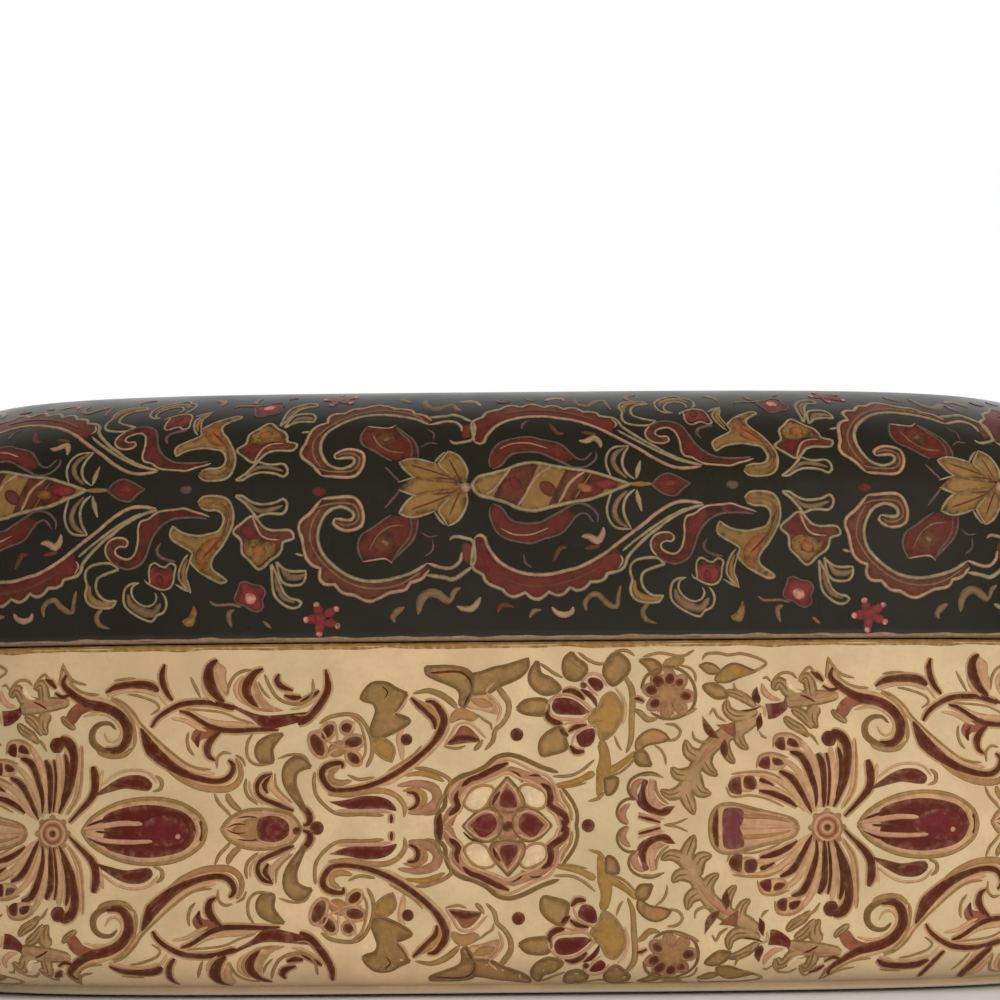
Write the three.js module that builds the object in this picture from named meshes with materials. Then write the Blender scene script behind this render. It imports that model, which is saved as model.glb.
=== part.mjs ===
// A lidded ceramic box: a straight-sided container on a low foot ring, and a domed lid that lifts off.
// Both are cushion shaped in plan, which is a superellipse, and both are one thin wall of fired clay.
// The lid sits on the container's rim, and a flange under it drops inside the rim to keep it in place.
// Units are millimetres, +Z is up, X runs along the box, and the origin is the middle of its foot.
import * as THREE from "three";
import { mergeVertices } from "three/addons/utils/BufferGeometryUtils.js";

// Driving dimensions
const boxLength = 198;
const boxWidth = 132;
const bodyHeight = 53;
const lidSideHeight = 23.2;
const shoulderRadius = 16.5;
const wall = 4.6;
const planSquareness = 4; // exponent of the superellipse: 2 is an ellipse, and more is squarer
const crownSquareness = 2.2; // the same, where the lid's dome closes in the middle

// The container's foot, floor and rim
const footHeight = 1.4;
const footWidth = 3;
const heelRadius = 6;
const footSetIn = 0.6; // how far the foot ring stands in from the end of the heel's curve
const bellyOut = 0.7; // how far the side swells at mid height
const floorThickness = 4.4;
const innerHeelRadius = 7;
const rimRound = 1.1;

// The lid's rim, flange and dome
const seamGap = 0.3; // the glaze keeps the lid this far off the rim
const lidEdgeRound = 0.7;
const flangeClearance = 0.9; // on every side, for a flange that warps in the kiln
const flangeDepth = 5;
const flangeThickness = 3;
const flangeRound = 0.8;
const flangeBlendHeight = 5; // height over which the flange's inner face opens out to the lid's wall
const shoulderTurn = 84; // degrees from the upright side to where the crown takes over

// How finely the curves are stepped
const planSteps = 72;
const bellySteps = 6;
const quarterSteps = 6;
const roundSteps = 3;
const blendSteps = 4;
const crownSteps = 6;

const degrees = Math.PI / 180;
const weldDistance = 1e-4; // vertices closer than this are one vertex
const halfLength = boxLength / 2;
const halfWidth = boxWidth / 2;

// The plan at a distance set in from the outer wall. A parallel line near the wall, it turns to an
// ellipse and shortens as it nears the middle, where both halves reach zero together.
function planPoint(angle, setIn) {
  const share = Math.min(Math.max(setIn / halfWidth, 0), 1);
  const a = halfLength - setIn - (halfLength - halfWidth) * share ** 3;
  const b = halfWidth - setIn;
  const n = planSquareness + (crownSquareness - planSquareness) * share ** 2;
  const c = Math.cos(angle);
  const s = Math.sin(angle);
  const reach = (Math.abs(c) ** n + Math.abs(s) ** n) ** (-1 / n);
  return [a * c * reach, b * s * reach];
}

// Turns a profile of [set in, height] points into a closed solid. The profile starts and ends in the
// middle of the plan, and runs with the clay on its left.
function loftRoundPlan(profile) {
  const rings = profile.slice(1, -1);
  const positions = [0, 0, profile[0][1]];
  for (const [setIn, z] of rings) {
    for (let i = 0; i < planSteps; i++) {
      positions.push(...planPoint((2 * Math.PI * i) / planSteps, setIn), z);
    }
  }
  const last = positions.length / 3;
  positions.push(0, 0, profile[profile.length - 1][1]);
  const at = (ring, i) => 1 + ring * planSteps + (i % planSteps);
  const index = [];
  for (let i = 0; i < planSteps; i++) {
    index.push(0, at(0, i + 1), at(0, i));
    for (let ring = 0; ring + 1 < rings.length; ring++) {
      const corner = [at(ring, i), at(ring, i + 1), at(ring + 1, i + 1), at(ring + 1, i)];
      index.push(corner[0], corner[1], corner[2], corner[0], corner[2], corner[3]);
    }
    index.push(last, at(rings.length - 1, i), at(rings.length - 1, i + 1));
  }
  const geometry = new THREE.BufferGeometry();
  geometry.setAttribute("position", new THREE.Float32BufferAttribute(positions, 3));
  geometry.setIndex(index);
  return mergeVertices(geometry, weldDistance);
}

// Points on an arc of the profile, from one angle to the other. Zero degrees points inwards, and 90 up.
function arc(setIn, z, radius, from, to, steps) {
  const points = [];
  for (let i = 0; i <= steps; i++) {
    const turn = (from + ((to - from) * i) / steps) * degrees;
    points.push([setIn + radius * Math.cos(turn), z + radius * Math.sin(turn)]);
  }
  return points;
}

// The container, from the middle of its underside round the outside, over the rim and down inside.
function bodyProfile() {
  const heelTop = footHeight + heelRadius;
  const rimStart = bodyHeight - rimRound;
  const footOuter = heelRadius + footSetIn;
  const floorTop = footHeight + floorThickness;
  const swell = (z) => -bellyOut * Math.sin((Math.PI * (z - heelTop)) / (rimStart - heelTop));
  const side = [];
  for (let i = 1; i < bellySteps; i++) {
    const z = heelTop + ((rimStart - heelTop) * i) / bellySteps;
    side.push([swell(z), z]);
  }
  return [
    [halfWidth, footHeight],
    [footOuter + footWidth, footHeight],
    [footOuter + footWidth, 0],
    [footOuter, 0],
    [footOuter, footHeight],
    ...arc(heelRadius, heelTop, heelRadius, 270, 180, quarterSteps),
    ...side,
    ...arc(rimRound, rimStart, rimRound, 180, 90, roundSteps),
    ...arc(wall - rimRound, rimStart, rimRound, 90, 0, roundSteps),
    ...arc(wall + innerHeelRadius, floorTop + innerHeelRadius, innerHeelRadius, 180, 270, quarterSteps),
    [halfWidth, floorTop],
  ];
}

// One skin of the lid, from the foot of its side over the shoulder to the middle of the crown.
// The crown leaves the shoulder without a kink, and flattens out to level in the middle.
function domeSkin(setIn, sideBottom, offset) {
  const sideTop = bodyHeight + seamGap + lidSideHeight;
  const radius = shoulderRadius - offset;
  const shoulder = arc(setIn + radius, sideTop, radius, 180, 180 - shoulderTurn, quarterSteps + 1);
  const [crownStart, crownFoot] = shoulder[shoulder.length - 1];
  const slope = Math.tan((90 - shoulderTurn) * degrees);
  const span = halfWidth - crownStart;
  const crown = [];
  for (let i = 1; i <= crownSteps; i++) {
    const t = i / crownSteps;
    crown.push([crownStart + span * t, crownFoot + slope * span * (t - (t * t) / 2)]);
  }
  return [[setIn, sideBottom], ...shoulder, ...crown];
}

// The lid, from the middle of its underside down the inside, round the flange and rim, and up the outside.
function lidProfile() {
  const rim = bodyHeight + seamGap;
  const flangeOuter = wall + flangeClearance;
  const flangeInner = flangeOuter + flangeThickness;
  const flangeFoot = rim - flangeDepth;
  const blend = [];
  for (let i = 0; i < blendSteps; i++) {
    const t = i / blendSteps;
    const ease = t * t * (3 - 2 * t);
    blend.push([flangeInner + (wall - flangeInner) * ease, rim + flangeBlendHeight * t]);
  }
  const inside = [
    ...arc(flangeInner - flangeRound, flangeFoot + flangeRound, flangeRound, 270, 360, roundSteps),
    ...blend,
    ...domeSkin(wall, rim + flangeBlendHeight, wall),
  ];
  const outside = domeSkin(0, rim + lidEdgeRound, 0);
  return [
    ...inside.reverse(),
    ...arc(flangeOuter + flangeRound, flangeFoot + flangeRound, flangeRound, 270, 180, roundSteps),
    [flangeOuter, rim],
    ...arc(lidEdgeRound, rim + lidEdgeRound, lidEdgeRound, 270, 180, roundSteps).slice(0, -1),
    ...outside,
  ];
}

const creamGlaze = new THREE.MeshStandardMaterial({ color: 0xcdb183, roughness: 0.25, metalness: 0 });
const darkGlaze = new THREE.MeshStandardMaterial({ color: 0x20261f, roughness: 0.25, metalness: 0 });

const boxBody = new THREE.Mesh(loftRoundPlan(bodyProfile()), creamGlaze);
boxBody.name = "box_body";

const lid = new THREE.Mesh(loftRoundPlan(lidProfile()), darkGlaze);
lid.name = "lid";

const liddedBox = new THREE.Group();
liddedBox.add(boxBody, lid);

export default liddedBox;
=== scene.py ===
"""Gives a cushion-shaped, lidded ceramic box its glazed shells and its trailed arabesque."""
import math

import bmesh
import bpy
import numpy as np
from mathutils import Matrix, Vector, geometry


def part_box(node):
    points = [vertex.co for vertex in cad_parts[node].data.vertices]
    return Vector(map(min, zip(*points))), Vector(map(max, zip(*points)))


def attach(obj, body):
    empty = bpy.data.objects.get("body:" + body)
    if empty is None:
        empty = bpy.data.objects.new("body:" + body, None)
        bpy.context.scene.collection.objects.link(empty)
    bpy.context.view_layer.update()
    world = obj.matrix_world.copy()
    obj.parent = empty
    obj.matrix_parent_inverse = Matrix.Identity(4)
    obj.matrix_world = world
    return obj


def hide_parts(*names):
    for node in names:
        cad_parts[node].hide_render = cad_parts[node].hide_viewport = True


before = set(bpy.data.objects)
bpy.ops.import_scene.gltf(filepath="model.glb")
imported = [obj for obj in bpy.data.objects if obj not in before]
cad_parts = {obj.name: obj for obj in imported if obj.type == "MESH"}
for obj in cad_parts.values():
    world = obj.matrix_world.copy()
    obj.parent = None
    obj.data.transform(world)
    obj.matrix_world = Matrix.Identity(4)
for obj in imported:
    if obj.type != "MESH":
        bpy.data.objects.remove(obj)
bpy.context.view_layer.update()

bl_info = {
    "name": "Lidded ceramic box",
    "version": (1, 0, 0),
    "blender": (4, 5, 0),
    "location": "View3D > Sidebar > Ceramic box",
    "description": "Throws the shells of a lidded box and trails its arabesque over them",
    "category": "Object",
}

MM = 0.001
body_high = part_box("box_body")[1]
lid_low, lid_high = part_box("lid")


# Sizes and colours that a user would change

def srgb(red, green, blue):
    """A colour read on the 0 to 255 scale, as the linear values that the shaders take."""
    return tuple(((c / 255 + 0.055) / 1.055) ** 2.4 for c in (red, green, blue))


def size_field(name, description, default):
    return bpy.props.FloatProperty(name=name, description=description, default=default,
                                   min=0.0, unit="LENGTH", precision=4)


def exponent_field(name, description, default):
    return bpy.props.FloatProperty(name=name, description=description, default=default, min=2.0, max=8.0)


def count_field(name, description, default, low, high):
    return bpy.props.IntProperty(name=name, description=description, default=default, min=low, max=high)


def colour_field(name, description, default):
    return bpy.props.FloatVectorProperty(name=name, description=description, size=3, subtype="COLOR",
                                         min=0.0, max=1.0, default=srgb(*default))


class BoxSizes(bpy.types.PropertyGroup):
    length: size_field("Length", "Length over the lid", lid_high.x - lid_low.x)
    width: size_field("Width", "Width over the lid", lid_high.y - lid_low.y)
    body_height: size_field("Body height", "Height of the rim", body_high.z)
    lid_side: size_field("Lid side", "Height of the lid's upright side", 0.0232)
    shoulder: size_field("Shoulder", "Radius between the lid's side and crown", 0.0165)
    wall: size_field("Wall", "Thickness of the clay", 0.0046)
    plan_squareness: exponent_field("Plan squareness", "Superellipse exponent of the plan at the wall", 4.0)
    crown_squareness: exponent_field("Crown squareness", "Superellipse exponent at the middle", 2.2)
    columns: count_field("Columns", "Steps round the plan", 420, 48, 1200)
    lid_repeats: count_field("Lid repeats", "Times the lid's band goes round", 7, 1, 24)
    body_repeats: count_field("Body repeats", "Times the body's band goes round", 5, 1, 24)


class BoxColours(bpy.types.PropertyGroup):
    cream: colour_field("Cream glaze", "Ground of the body", (197, 168, 130))
    night: colour_field("Night glaze", "Ground of the lid", (34, 31, 20))
    gilt: colour_field("Gilding", "Band on the rim", (140, 104, 50))
    floor: colour_field("Floor", "The pale table", (236, 236, 236))


def sizes():
    return bpy.context.scene.box_sizes


def colours():
    return bpy.context.scene.box_colours


# Node trees

class Tree:
    """A node tree that is grown by calls. A value that is a socket is linked, and any other is set."""

    def __init__(self, tree):
        self.tree = tree
        tree.nodes.clear()

    def node(self, kind, values=(), **settings):
        node = self.tree.nodes.new(kind)
        for name, value in settings.items():
            setattr(node, name, value)
        pairs = values.items() if isinstance(values, dict) else enumerate(values)
        for key, value in pairs:
            if isinstance(value, bpy.types.NodeSocket):
                self.tree.links.new(value, node.inputs[key])
            elif value is not None:
                node.inputs[key].default_value = value
        return node

    def out(self, kind, values=(), **settings):
        """The first output of a new node."""
        return self.node(kind, values, **settings).outputs[0]

    def math(self, operation, *values):
        return self.out("ShaderNodeMath", values, operation=operation)

    def vector(self, *values):
        return self.out("ShaderNodeCombineXYZ", values)

    def parts(self, vector):
        return self.node("ShaderNodeSeparateXYZ", [vector]).outputs

    def noise(self, vector, scale, detail=3.0, roughness=0.55):
        values = {"Vector": vector, "Scale": scale, "Detail": detail, "Roughness": roughness}
        return self.out("ShaderNodeTexNoise", values)

    def ramp(self, factor, low, high, to_low=0.0, to_high=1.0):
        values = {"Value": factor, "From Min": low, "From Max": high, "To Min": to_low, "To Max": to_high}
        return self.out("ShaderNodeMapRange", values, interpolation_type="SMOOTHSTEP")

    def mix(self, factor, first, second, blend="MIX"):
        """Mixes two colours. A plain colour is three numbers."""
        node = self.node("ShaderNodeMix", data_type="RGBA", blend_type=blend)
        for socket, value in ((node.inputs[0], factor), (node.inputs[6], first), (node.inputs[7], second)):
            if isinstance(value, bpy.types.NodeSocket):
                self.tree.links.new(value, socket)
            else:
                socket.default_value = value if socket.type == "VALUE" else (*value[:3], 1.0)
        return node.outputs[2]


def geometry_tree(name, fields):
    """A geometry tree with named inputs. A field is its name, socket type and default."""
    tree = bpy.data.node_groups.new(name, "GeometryNodeTree")
    tree.interface.new_socket("Geometry", in_out="INPUT", socket_type="NodeSocketGeometry")
    for field, kind, default in fields:
        socket = tree.interface.new_socket(field, in_out="INPUT", socket_type="NodeSocket" + kind)
        if default is not None:
            socket.default_value = default
    tree.interface.new_socket("Geometry", in_out="OUTPUT", socket_type="NodeSocketGeometry")
    t = Tree(tree)
    return t, t.node("NodeGroupInput").outputs


def shape_by(piece, t, values):
    """Gives the piece the tree as a modifier with these inputs, and keeps the result as a plain mesh."""
    modifier = piece.modifiers.new("shape", "NODES")
    modifier.node_group = t.tree
    for item in t.tree.interface.items_tree:
        if item.in_out == "INPUT" and item.name in values:
            modifier[item.identifier] = values[item.name]
    graph = bpy.context.evaluated_depsgraph_get()
    made = bpy.data.meshes.new_from_object(piece.evaluated_get(graph), depsgraph=graph)
    piece.modifiers.clear()
    piece.data = made
    made.name = piece.name
    return piece


RING_POINTS = 1440
JOIN_DISTANCE = 1e-6
# A hair less than the whole chart, because a sample at its very ends would miss the shell.
CHART_SHARE = 0.9999


def plan_nodes(t, angle, set_in, fields):
    """The plan at a distance set in from the wall: a superellipse that turns to an ellipse inwards."""
    half_length = t.math("MULTIPLY", fields["Length"], 0.5)
    half_width = t.math("MULTIPLY", fields["Width"], 0.5)
    share = t.out("ShaderNodeClamp", [t.math("DIVIDE", set_in, half_width)])
    loss = t.math("MULTIPLY", t.math("SUBTRACT", half_length, half_width), t.math("POWER", share, 3.0))
    a = t.math("SUBTRACT", t.math("SUBTRACT", half_length, set_in), loss)
    b = t.math("SUBTRACT", half_width, set_in)
    turn = t.math("SUBTRACT", fields["Crown squareness"], fields["Plan squareness"])
    squared = t.math("MULTIPLY", share, share)
    n = t.math("MULTIPLY_ADD", turn, squared, fields["Plan squareness"])
    c = t.math("COSINE", angle)
    s = t.math("SINE", angle)
    power = [t.math("POWER", t.math("ABSOLUTE", x), n) for x in (c, s)]
    reach = t.math("POWER", t.math("ADD", *power), t.math("DIVIDE", -1.0, n))
    x = t.math("MULTIPLY", t.math("MULTIPLY", a, c), reach)
    y = t.math("MULTIPLY", t.math("MULTIPLY", b, s), reach)
    return x, y, half_length, half_width


def finished(t, mesh, fields):
    """Ends a geometry tree: real geometry in its glaze."""
    real = t.out("GeometryNodeRealizeInstances", [mesh])
    glazed = t.out("GeometryNodeSetMaterial", {"Geometry": real, "Material": fields["Glaze"]})
    t.node("NodeGroupOutput", [glazed])
    return t


def raised(t, mesh, base, outward, lift, fields):
    """Ends a tree that lays ornament: moves the mesh onto the base, lifted outwards."""
    away = t.out("ShaderNodeVectorMath", {0: outward, "Scale": lift}, operation="SCALE")
    top = t.out("ShaderNodeVectorMath", [base, away], operation="ADD")
    return finished(t, t.out("GeometryNodeSetPosition", {"Geometry": mesh, "Position": top}), fields)


def loft_tree():
    """Carries a profile round the plan. The profile's points hold set in, chart height and height."""
    t, fields = geometry_tree("Cushion loft", [
        ("Length", "Float", 0.198), ("Width", "Float", 0.132),
        ("Plan squareness", "Float", 4.0), ("Crown squareness", "Float", 2.2),
        ("Columns", "Int", 420), ("Glaze", "Material", None)])
    place = t.out("GeometryNodeInputPosition")
    ring = t.out("GeometryNodeCurvePrimitiveCircle", {"Resolution": RING_POINTS, "Radius": 1.0})
    x, y = t.parts(place)[:2]
    # The ring starts at the back, so that the front lies in the middle of the chart.
    angle = t.math("ADD", t.math("ARCTAN2", y, x), math.pi / 2)
    px, py, half_length, half_width = plan_nodes(t, angle, 0.0, fields)
    plan = t.out("GeometryNodeSetPosition", {"Geometry": ring, "Position": t.vector(px, py, 0.0)})
    perimeter = t.out("GeometryNodeCurveLength", [plan])
    even = t.out("GeometryNodeResampleCurve", {"Curve": plan, "Count": fields["Columns"]})

    rows = t.node("GeometryNodeAttributeDomainSize", {"Geometry": fields["Geometry"]}).outputs["Point Count"]
    last_row = t.math("SUBTRACT", rows, 1.0)
    around = t.math("ADD", fields["Columns"], 1.0)
    grid = t.out("GeometryNodeMeshGrid", {
        "Size X": fields["Columns"], "Size Y": last_row, "Vertices X": around, "Vertices Y": rows})
    gx, gy = t.parts(place)[:2]
    column = t.math("ROUND", t.math("MULTIPLY_ADD", fields["Columns"], 0.5, gx))
    row = t.math("ROUND", t.math("MULTIPLY_ADD", last_row, 0.5, gy))

    def sample(source, index):
        values = {"Geometry": source, "Value": place, "Index": index}
        return t.parts(t.out("GeometryNodeSampleIndex", values, data_type="FLOAT_VECTOR", domain="POINT"))

    set_in, rise, height = sample(fields["Geometry"], row)
    wrapped = t.math("MODULO", column, fields["Columns"])
    ex, ey = sample(even, wrapped)[:2]
    bearing = t.math("ARCTAN2", t.math("DIVIDE", ey, half_width), t.math("DIVIDE", ex, half_length))
    sx, sy = plan_nodes(t, bearing, set_in, fields)[:2]
    share = t.math("SUBTRACT", t.math("DIVIDE", column, fields["Columns"]), 0.5)
    chart = t.vector(t.math("MULTIPLY", share, perimeter), rise, 0.0)
    kept = t.out("GeometryNodeStoreNamedAttribute", {"Geometry": grid, "Name": "chart", "Value": chart},
                 data_type="FLOAT2", domain="CORNER")
    lofted = t.out("GeometryNodeSetPosition", {"Geometry": kept, "Position": t.vector(sx, sy, height)})
    joined = t.out("GeometryNodeMergeByDistance", {"Geometry": lofted, "Distance": JOIN_DISTANCE})
    return finished(t, t.out("GeometryNodeSetShadeSmooth", [joined]), fields)


def trail_tree():
    """Repeats a flat length of ornament along the chart and lays it over a shell."""
    t, fields = geometry_tree("Trailed band", [
        ("Shell", "Object", None), ("Repeats", "Int", 7), ("Period", "Float", 0.083),
        ("Perimeter", "Float", 0.58), ("Glaze", "Material", None)])
    step = t.vector(fields["Period"], 0.0, 0.0)
    row = t.out("GeometryNodeMeshLine", {"Count": fields["Repeats"], "Offset": step})
    copies = t.out("GeometryNodeInstanceOnPoints", {"Points": row, "Instance": fields["Geometry"]})
    real = t.out("GeometryNodeRealizeInstances", [copies])
    place = t.out("GeometryNodeInputPosition")
    x, y, z = t.parts(place)
    half = t.math("MULTIPLY", fields["Perimeter"], 0.5)
    wrapped = t.math("WRAP", x, half, t.math("MULTIPLY", half, -1.0))
    spot = t.vector(t.math("MULTIPLY", wrapped, CHART_SHARE), y, 0.0)
    shell = t.node("GeometryNodeObjectInfo", {"Object": fields["Shell"]}).outputs["Geometry"]
    facing = t.out("GeometryNodeInputNormal")
    held = t.out("GeometryNodeStoreNamedAttribute", {"Geometry": shell, "Name": "facing", "Value": facing},
                 data_type="FLOAT_VECTOR", domain="POINT")

    def named(attribute):
        return t.out("GeometryNodeInputNamedAttribute", {"Name": attribute}, data_type="FLOAT_VECTOR")

    def on_shell(value):
        values = {"Mesh": held, "Value": value, "UV Map": named("chart"), "Sample UV": spot}
        return t.out("GeometryNodeSampleUVSurface", values, data_type="FLOAT_VECTOR")

    return raised(t, real, on_shell(place), on_shell(named("facing")), z, fields)


def crown_tree():
    """Drops flat ornament onto a shell from above."""
    t, fields = geometry_tree("Crown ornament", [("Shell", "Object", None), ("Glaze", "Material", None)])
    x, y, z = t.parts(t.out("GeometryNodeInputPosition"))
    shell = t.node("GeometryNodeObjectInfo", {"Object": fields["Shell"]}).outputs["Geometry"]
    hit = t.node("GeometryNodeRaycast", {"Target Geometry": shell, "Source Position": t.vector(x, y, 0.5),
                                         "Ray Direction": (0.0, 0.0, -1.0), "Ray Length": 1.0}).outputs
    return raised(t, fields["Geometry"], hit["Hit Position"], hit["Hit Normal"], z, fields)


# Glazes

def new_material(name):
    """A material, and its emptied node tree."""
    material = bpy.data.materials.new(name)
    material.use_nodes = True
    return material, Tree(material.node_tree)


def fire(t, colour, rough, wave, relief, shine):
    """Ends a glaze: a shader with a wavy surface."""
    bump = t.out("ShaderNodeBump", {"Strength": 0.5, "Distance": relief, "Height": wave})
    t.node("ShaderNodeOutputMaterial", [t.out("ShaderNodeBsdfPrincipled", {
        "Base Color": colour, "Roughness": rough, "Normal": bump, "Specular IOR Level": shine})])


def glaze(name, core, rim, ground, wear=0.35, roughness=0.32, relief=0.00002):
    """A fired colour: blotchy and grainy, another colour at its rim, and worn to the ground in places."""
    material, t = new_material(name)
    place = t.node("ShaderNodeTexCoord").outputs["Object"]
    blotch = t.noise(place, 160.0)
    patch = t.noise(place, 520.0, 2.0)
    grain = t.noise(place, 1300.0, 2.0)
    depth = t.node("ShaderNodeAttribute", attribute_name="depth").outputs["Fac"]
    brushed = t.math("ADD", depth, t.math("MULTIPLY_ADD", patch, 1.0, -0.5))
    colour = t.mix(t.ramp(brushed, 0.05, 0.85), rim, core)
    dark = tuple(c * 0.62 for c in core)
    light = tuple(min(1.0, c * 1.3) for c in core)
    colour = t.mix(t.math("MULTIPLY", t.ramp(blotch, 0.35, 0.65), 0.5), colour, dark)
    colour = t.mix(t.math("MULTIPLY", t.ramp(grain, 0.45, 0.75), 0.45), colour, light)
    edge = t.math("SUBTRACT", 1.1, depth)
    worn = t.math("MULTIPLY", t.ramp(t.noise(place, 900.0, 3.0), 0.42, 0.72), edge)
    colour = t.mix(t.math("MULTIPLY", worn, wear), colour, ground)
    rough = t.ramp(t.noise(place, 260.0), 0.3, 0.7, roughness * 0.75, roughness * 1.35)
    wave = t.math("MULTIPLY_ADD", t.noise(place, 45.0, 2.0), 6.0, t.noise(place, 700.0, 2.0))
    fire(t, colour, rough, wave, relief, 0.2)
    return material


# Profiles, in millimetres

FOOT_HEIGHT = 1.4
FOOT_WIDTH = 3.0
FOOT_SET_IN = 0.6
HEEL_RADIUS = 6.0
BELLY_OUT = 0.7
FLOOR_THICKNESS = 4.4
INNER_HEEL_RADIUS = 7.0
RIM_ROUND = 1.1
SEAM_GAP = 0.3
LID_EDGE_ROUND = 0.7
LIP_DROP = 0.15
FLANGE_CLEARANCE = 0.9
FLANGE_DEPTH = 5.0
FLANGE_THICKNESS = 3.0
FLANGE_ROUND = 0.8
FLANGE_BLEND = 5.0
SHOULDER_TURN = 84.0
ROW_HEIGHT = 0.9


def arc(set_in, z, radius, start, end):
    """Points of a round stretch of profile. Zero degrees points inwards, and 90 up."""
    steps = max(3, round(abs(end - start) * math.pi / 180 * radius / ROW_HEIGHT))
    turns = [math.radians(start + (end - start) * k / steps) for k in range(steps + 1)]
    return [(set_in + radius * math.cos(a), z + radius * math.sin(a)) for a in turns]


def straight(start, end):
    """Points between two ends, without the ends."""
    steps = max(1, round(math.dist(start, end) / ROW_HEIGHT))
    return [tuple(np.array(start) + (np.array(end) - start) * k / steps) for k in range(1, steps)]


def body_profile():
    """From the middle of the underside round the outside, over the rim and down inside."""
    half_width = sizes().width / MM / 2
    top = sizes().body_height / MM
    wall = sizes().wall / MM
    heel_top = FOOT_HEIGHT + HEEL_RADIUS
    rim_start = top - RIM_ROUND
    foot_outer = HEEL_RADIUS + FOOT_SET_IN
    foot_inner = foot_outer + FOOT_WIDTH
    floor_top = FOOT_HEIGHT + FLOOR_THICKNESS
    inner_heel = floor_top + INNER_HEEL_RADIUS
    rows = round((rim_start - heel_top) / ROW_HEIGHT)
    heights = [heel_top + (rim_start - heel_top) * k / rows for k in range(1, rows)]
    side = [(-BELLY_OUT * math.sin(math.pi * (z - heel_top) / (rim_start - heel_top)), z) for z in heights]
    heel = arc(HEEL_RADIUS, heel_top, HEEL_RADIUS, 270, 180)
    start = [(half_width, FOOT_HEIGHT), (foot_inner, FOOT_HEIGHT), (foot_inner, 0.3),
             (foot_inner - 0.3, 0.0), (foot_outer + 0.3, 0.0), (foot_outer, 0.3),
             (foot_outer, FOOT_HEIGHT)]
    rim = arc(RIM_ROUND, rim_start, RIM_ROUND, 180, 90)
    rim += arc(wall - RIM_ROUND, rim_start, RIM_ROUND, 90, 0)
    inside = straight((wall, rim_start), (wall, inner_heel))
    inside += arc(wall + INNER_HEEL_RADIUS, inner_heel, INNER_HEEL_RADIUS, 180, 270)
    return start + heel + side + rim + inside + [(half_width, floor_top)], (0.0, heel_top)


def dome_skin(set_in, side_bottom, offset):
    """One skin of the lid, from the foot of its side to the middle of the crown."""
    half_width = sizes().width / MM / 2
    side_top = (sizes().body_height + sizes().lid_side) / MM + SEAM_GAP
    radius = sizes().shoulder / MM - offset
    shoulder = arc(set_in + radius, side_top, radius, 180, 180 - SHOULDER_TURN)
    crown_start, crown_foot = shoulder[-1]
    slope = math.tan(math.radians(90 - SHOULDER_TURN))
    span = half_width - crown_start
    steps = round(span / ROW_HEIGHT)
    shares = [k / steps for k in range(1, steps + 1)]
    crown = [(crown_start + span * s, crown_foot + slope * span * (s - s * s / 2)) for s in shares]
    foot = (set_in, side_bottom)
    return [foot] + straight(foot, shoulder[0]) + shoulder + crown


def lid_profile():
    """From the middle of the underside down the inside, round flange and rim, and up the outside."""
    rim = sizes().body_height / MM + SEAM_GAP
    wall = sizes().wall / MM
    flange_outer = wall + FLANGE_CLEARANCE
    flange_inner = flange_outer + FLANGE_THICKNESS
    flange_foot = rim - FLANGE_DEPTH + FLANGE_ROUND
    shares = [k / 6 for k in range(6)]
    eases = [s * s * (3 - 2 * s) for s in shares]
    blend = [(flange_inner + (wall - flange_inner) * e, rim + FLANGE_BLEND * s)
             for s, e in zip(shares, eases)]
    inside = arc(flange_inner - FLANGE_ROUND, flange_foot, FLANGE_ROUND, 270, 360) + blend
    inside += dome_skin(wall, rim + FLANGE_BLEND, wall)
    lip = rim - LIP_DROP
    flange = arc(flange_outer + FLANGE_ROUND, flange_foot, FLANGE_ROUND, 270, 180) + [(flange_outer, lip)]
    edge = arc(LID_EDGE_ROUND, lip + LID_EDGE_ROUND, LID_EDGE_ROUND, 270, 180)[:-1]
    outside = dome_skin(0.0, lip + LID_EDGE_ROUND, 0.0)
    return inside[::-1] + flange + edge + outside, (0.0, lip + LID_EDGE_ROUND)


def make_object(name, vertices, edges=(), faces=()):
    mesh = bpy.data.meshes.new(name)
    mesh.from_pydata(vertices, edges, faces)
    piece = bpy.data.objects.new(name, mesh)
    bpy.context.scene.collection.objects.link(piece)
    return piece


def shell(name, profile, anchor, anchor_rise, material):
    """Lofts a profile. The chart height runs along it, and is anchor_rise at the anchor point."""
    points = np.array(profile)
    run = np.r_[0, np.cumsum(np.hypot(*np.diff(points, axis=0).T))]
    nearest = int(np.argmin(np.hypot(*(points - anchor).T)))
    rise = run - run[nearest] + anchor_rise
    vertices = [(p[0] * MM, r * MM, p[1] * MM) for p, r in zip(points, rise)]
    piece = make_object(name, vertices, [(k, k + 1) for k in range(len(points) - 1)])
    s = sizes()
    return shape_by(piece, loft_tree(), {
        "Length": s.length, "Width": s.width, "Plan squareness": s.plan_squareness,
        "Crown squareness": s.crown_squareness, "Columns": s.columns, "Glaze": material})


def plan_edge(set_in, count):
    """Points of the plan at a distance set in from the wall, in stroke units, as the loft has them."""
    s = sizes()
    half_length, half_width = s.length / MM * PER_MM / 2, s.width / MM * PER_MM / 2
    share = min(1.0, set_in / half_width)
    a = half_length - set_in - (half_length - half_width) * share ** 3
    b = half_width - set_in
    n = s.plan_squareness + (s.crown_squareness - s.plan_squareness) * share ** 2
    angle = np.arange(count) * 2 * math.pi / count
    reach = (abs(np.cos(angle)) ** n + abs(np.sin(angle)) ** n) ** (-1 / n)
    return list(zip(a * np.cos(angle) * reach, b * np.sin(angle) * reach))


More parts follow.
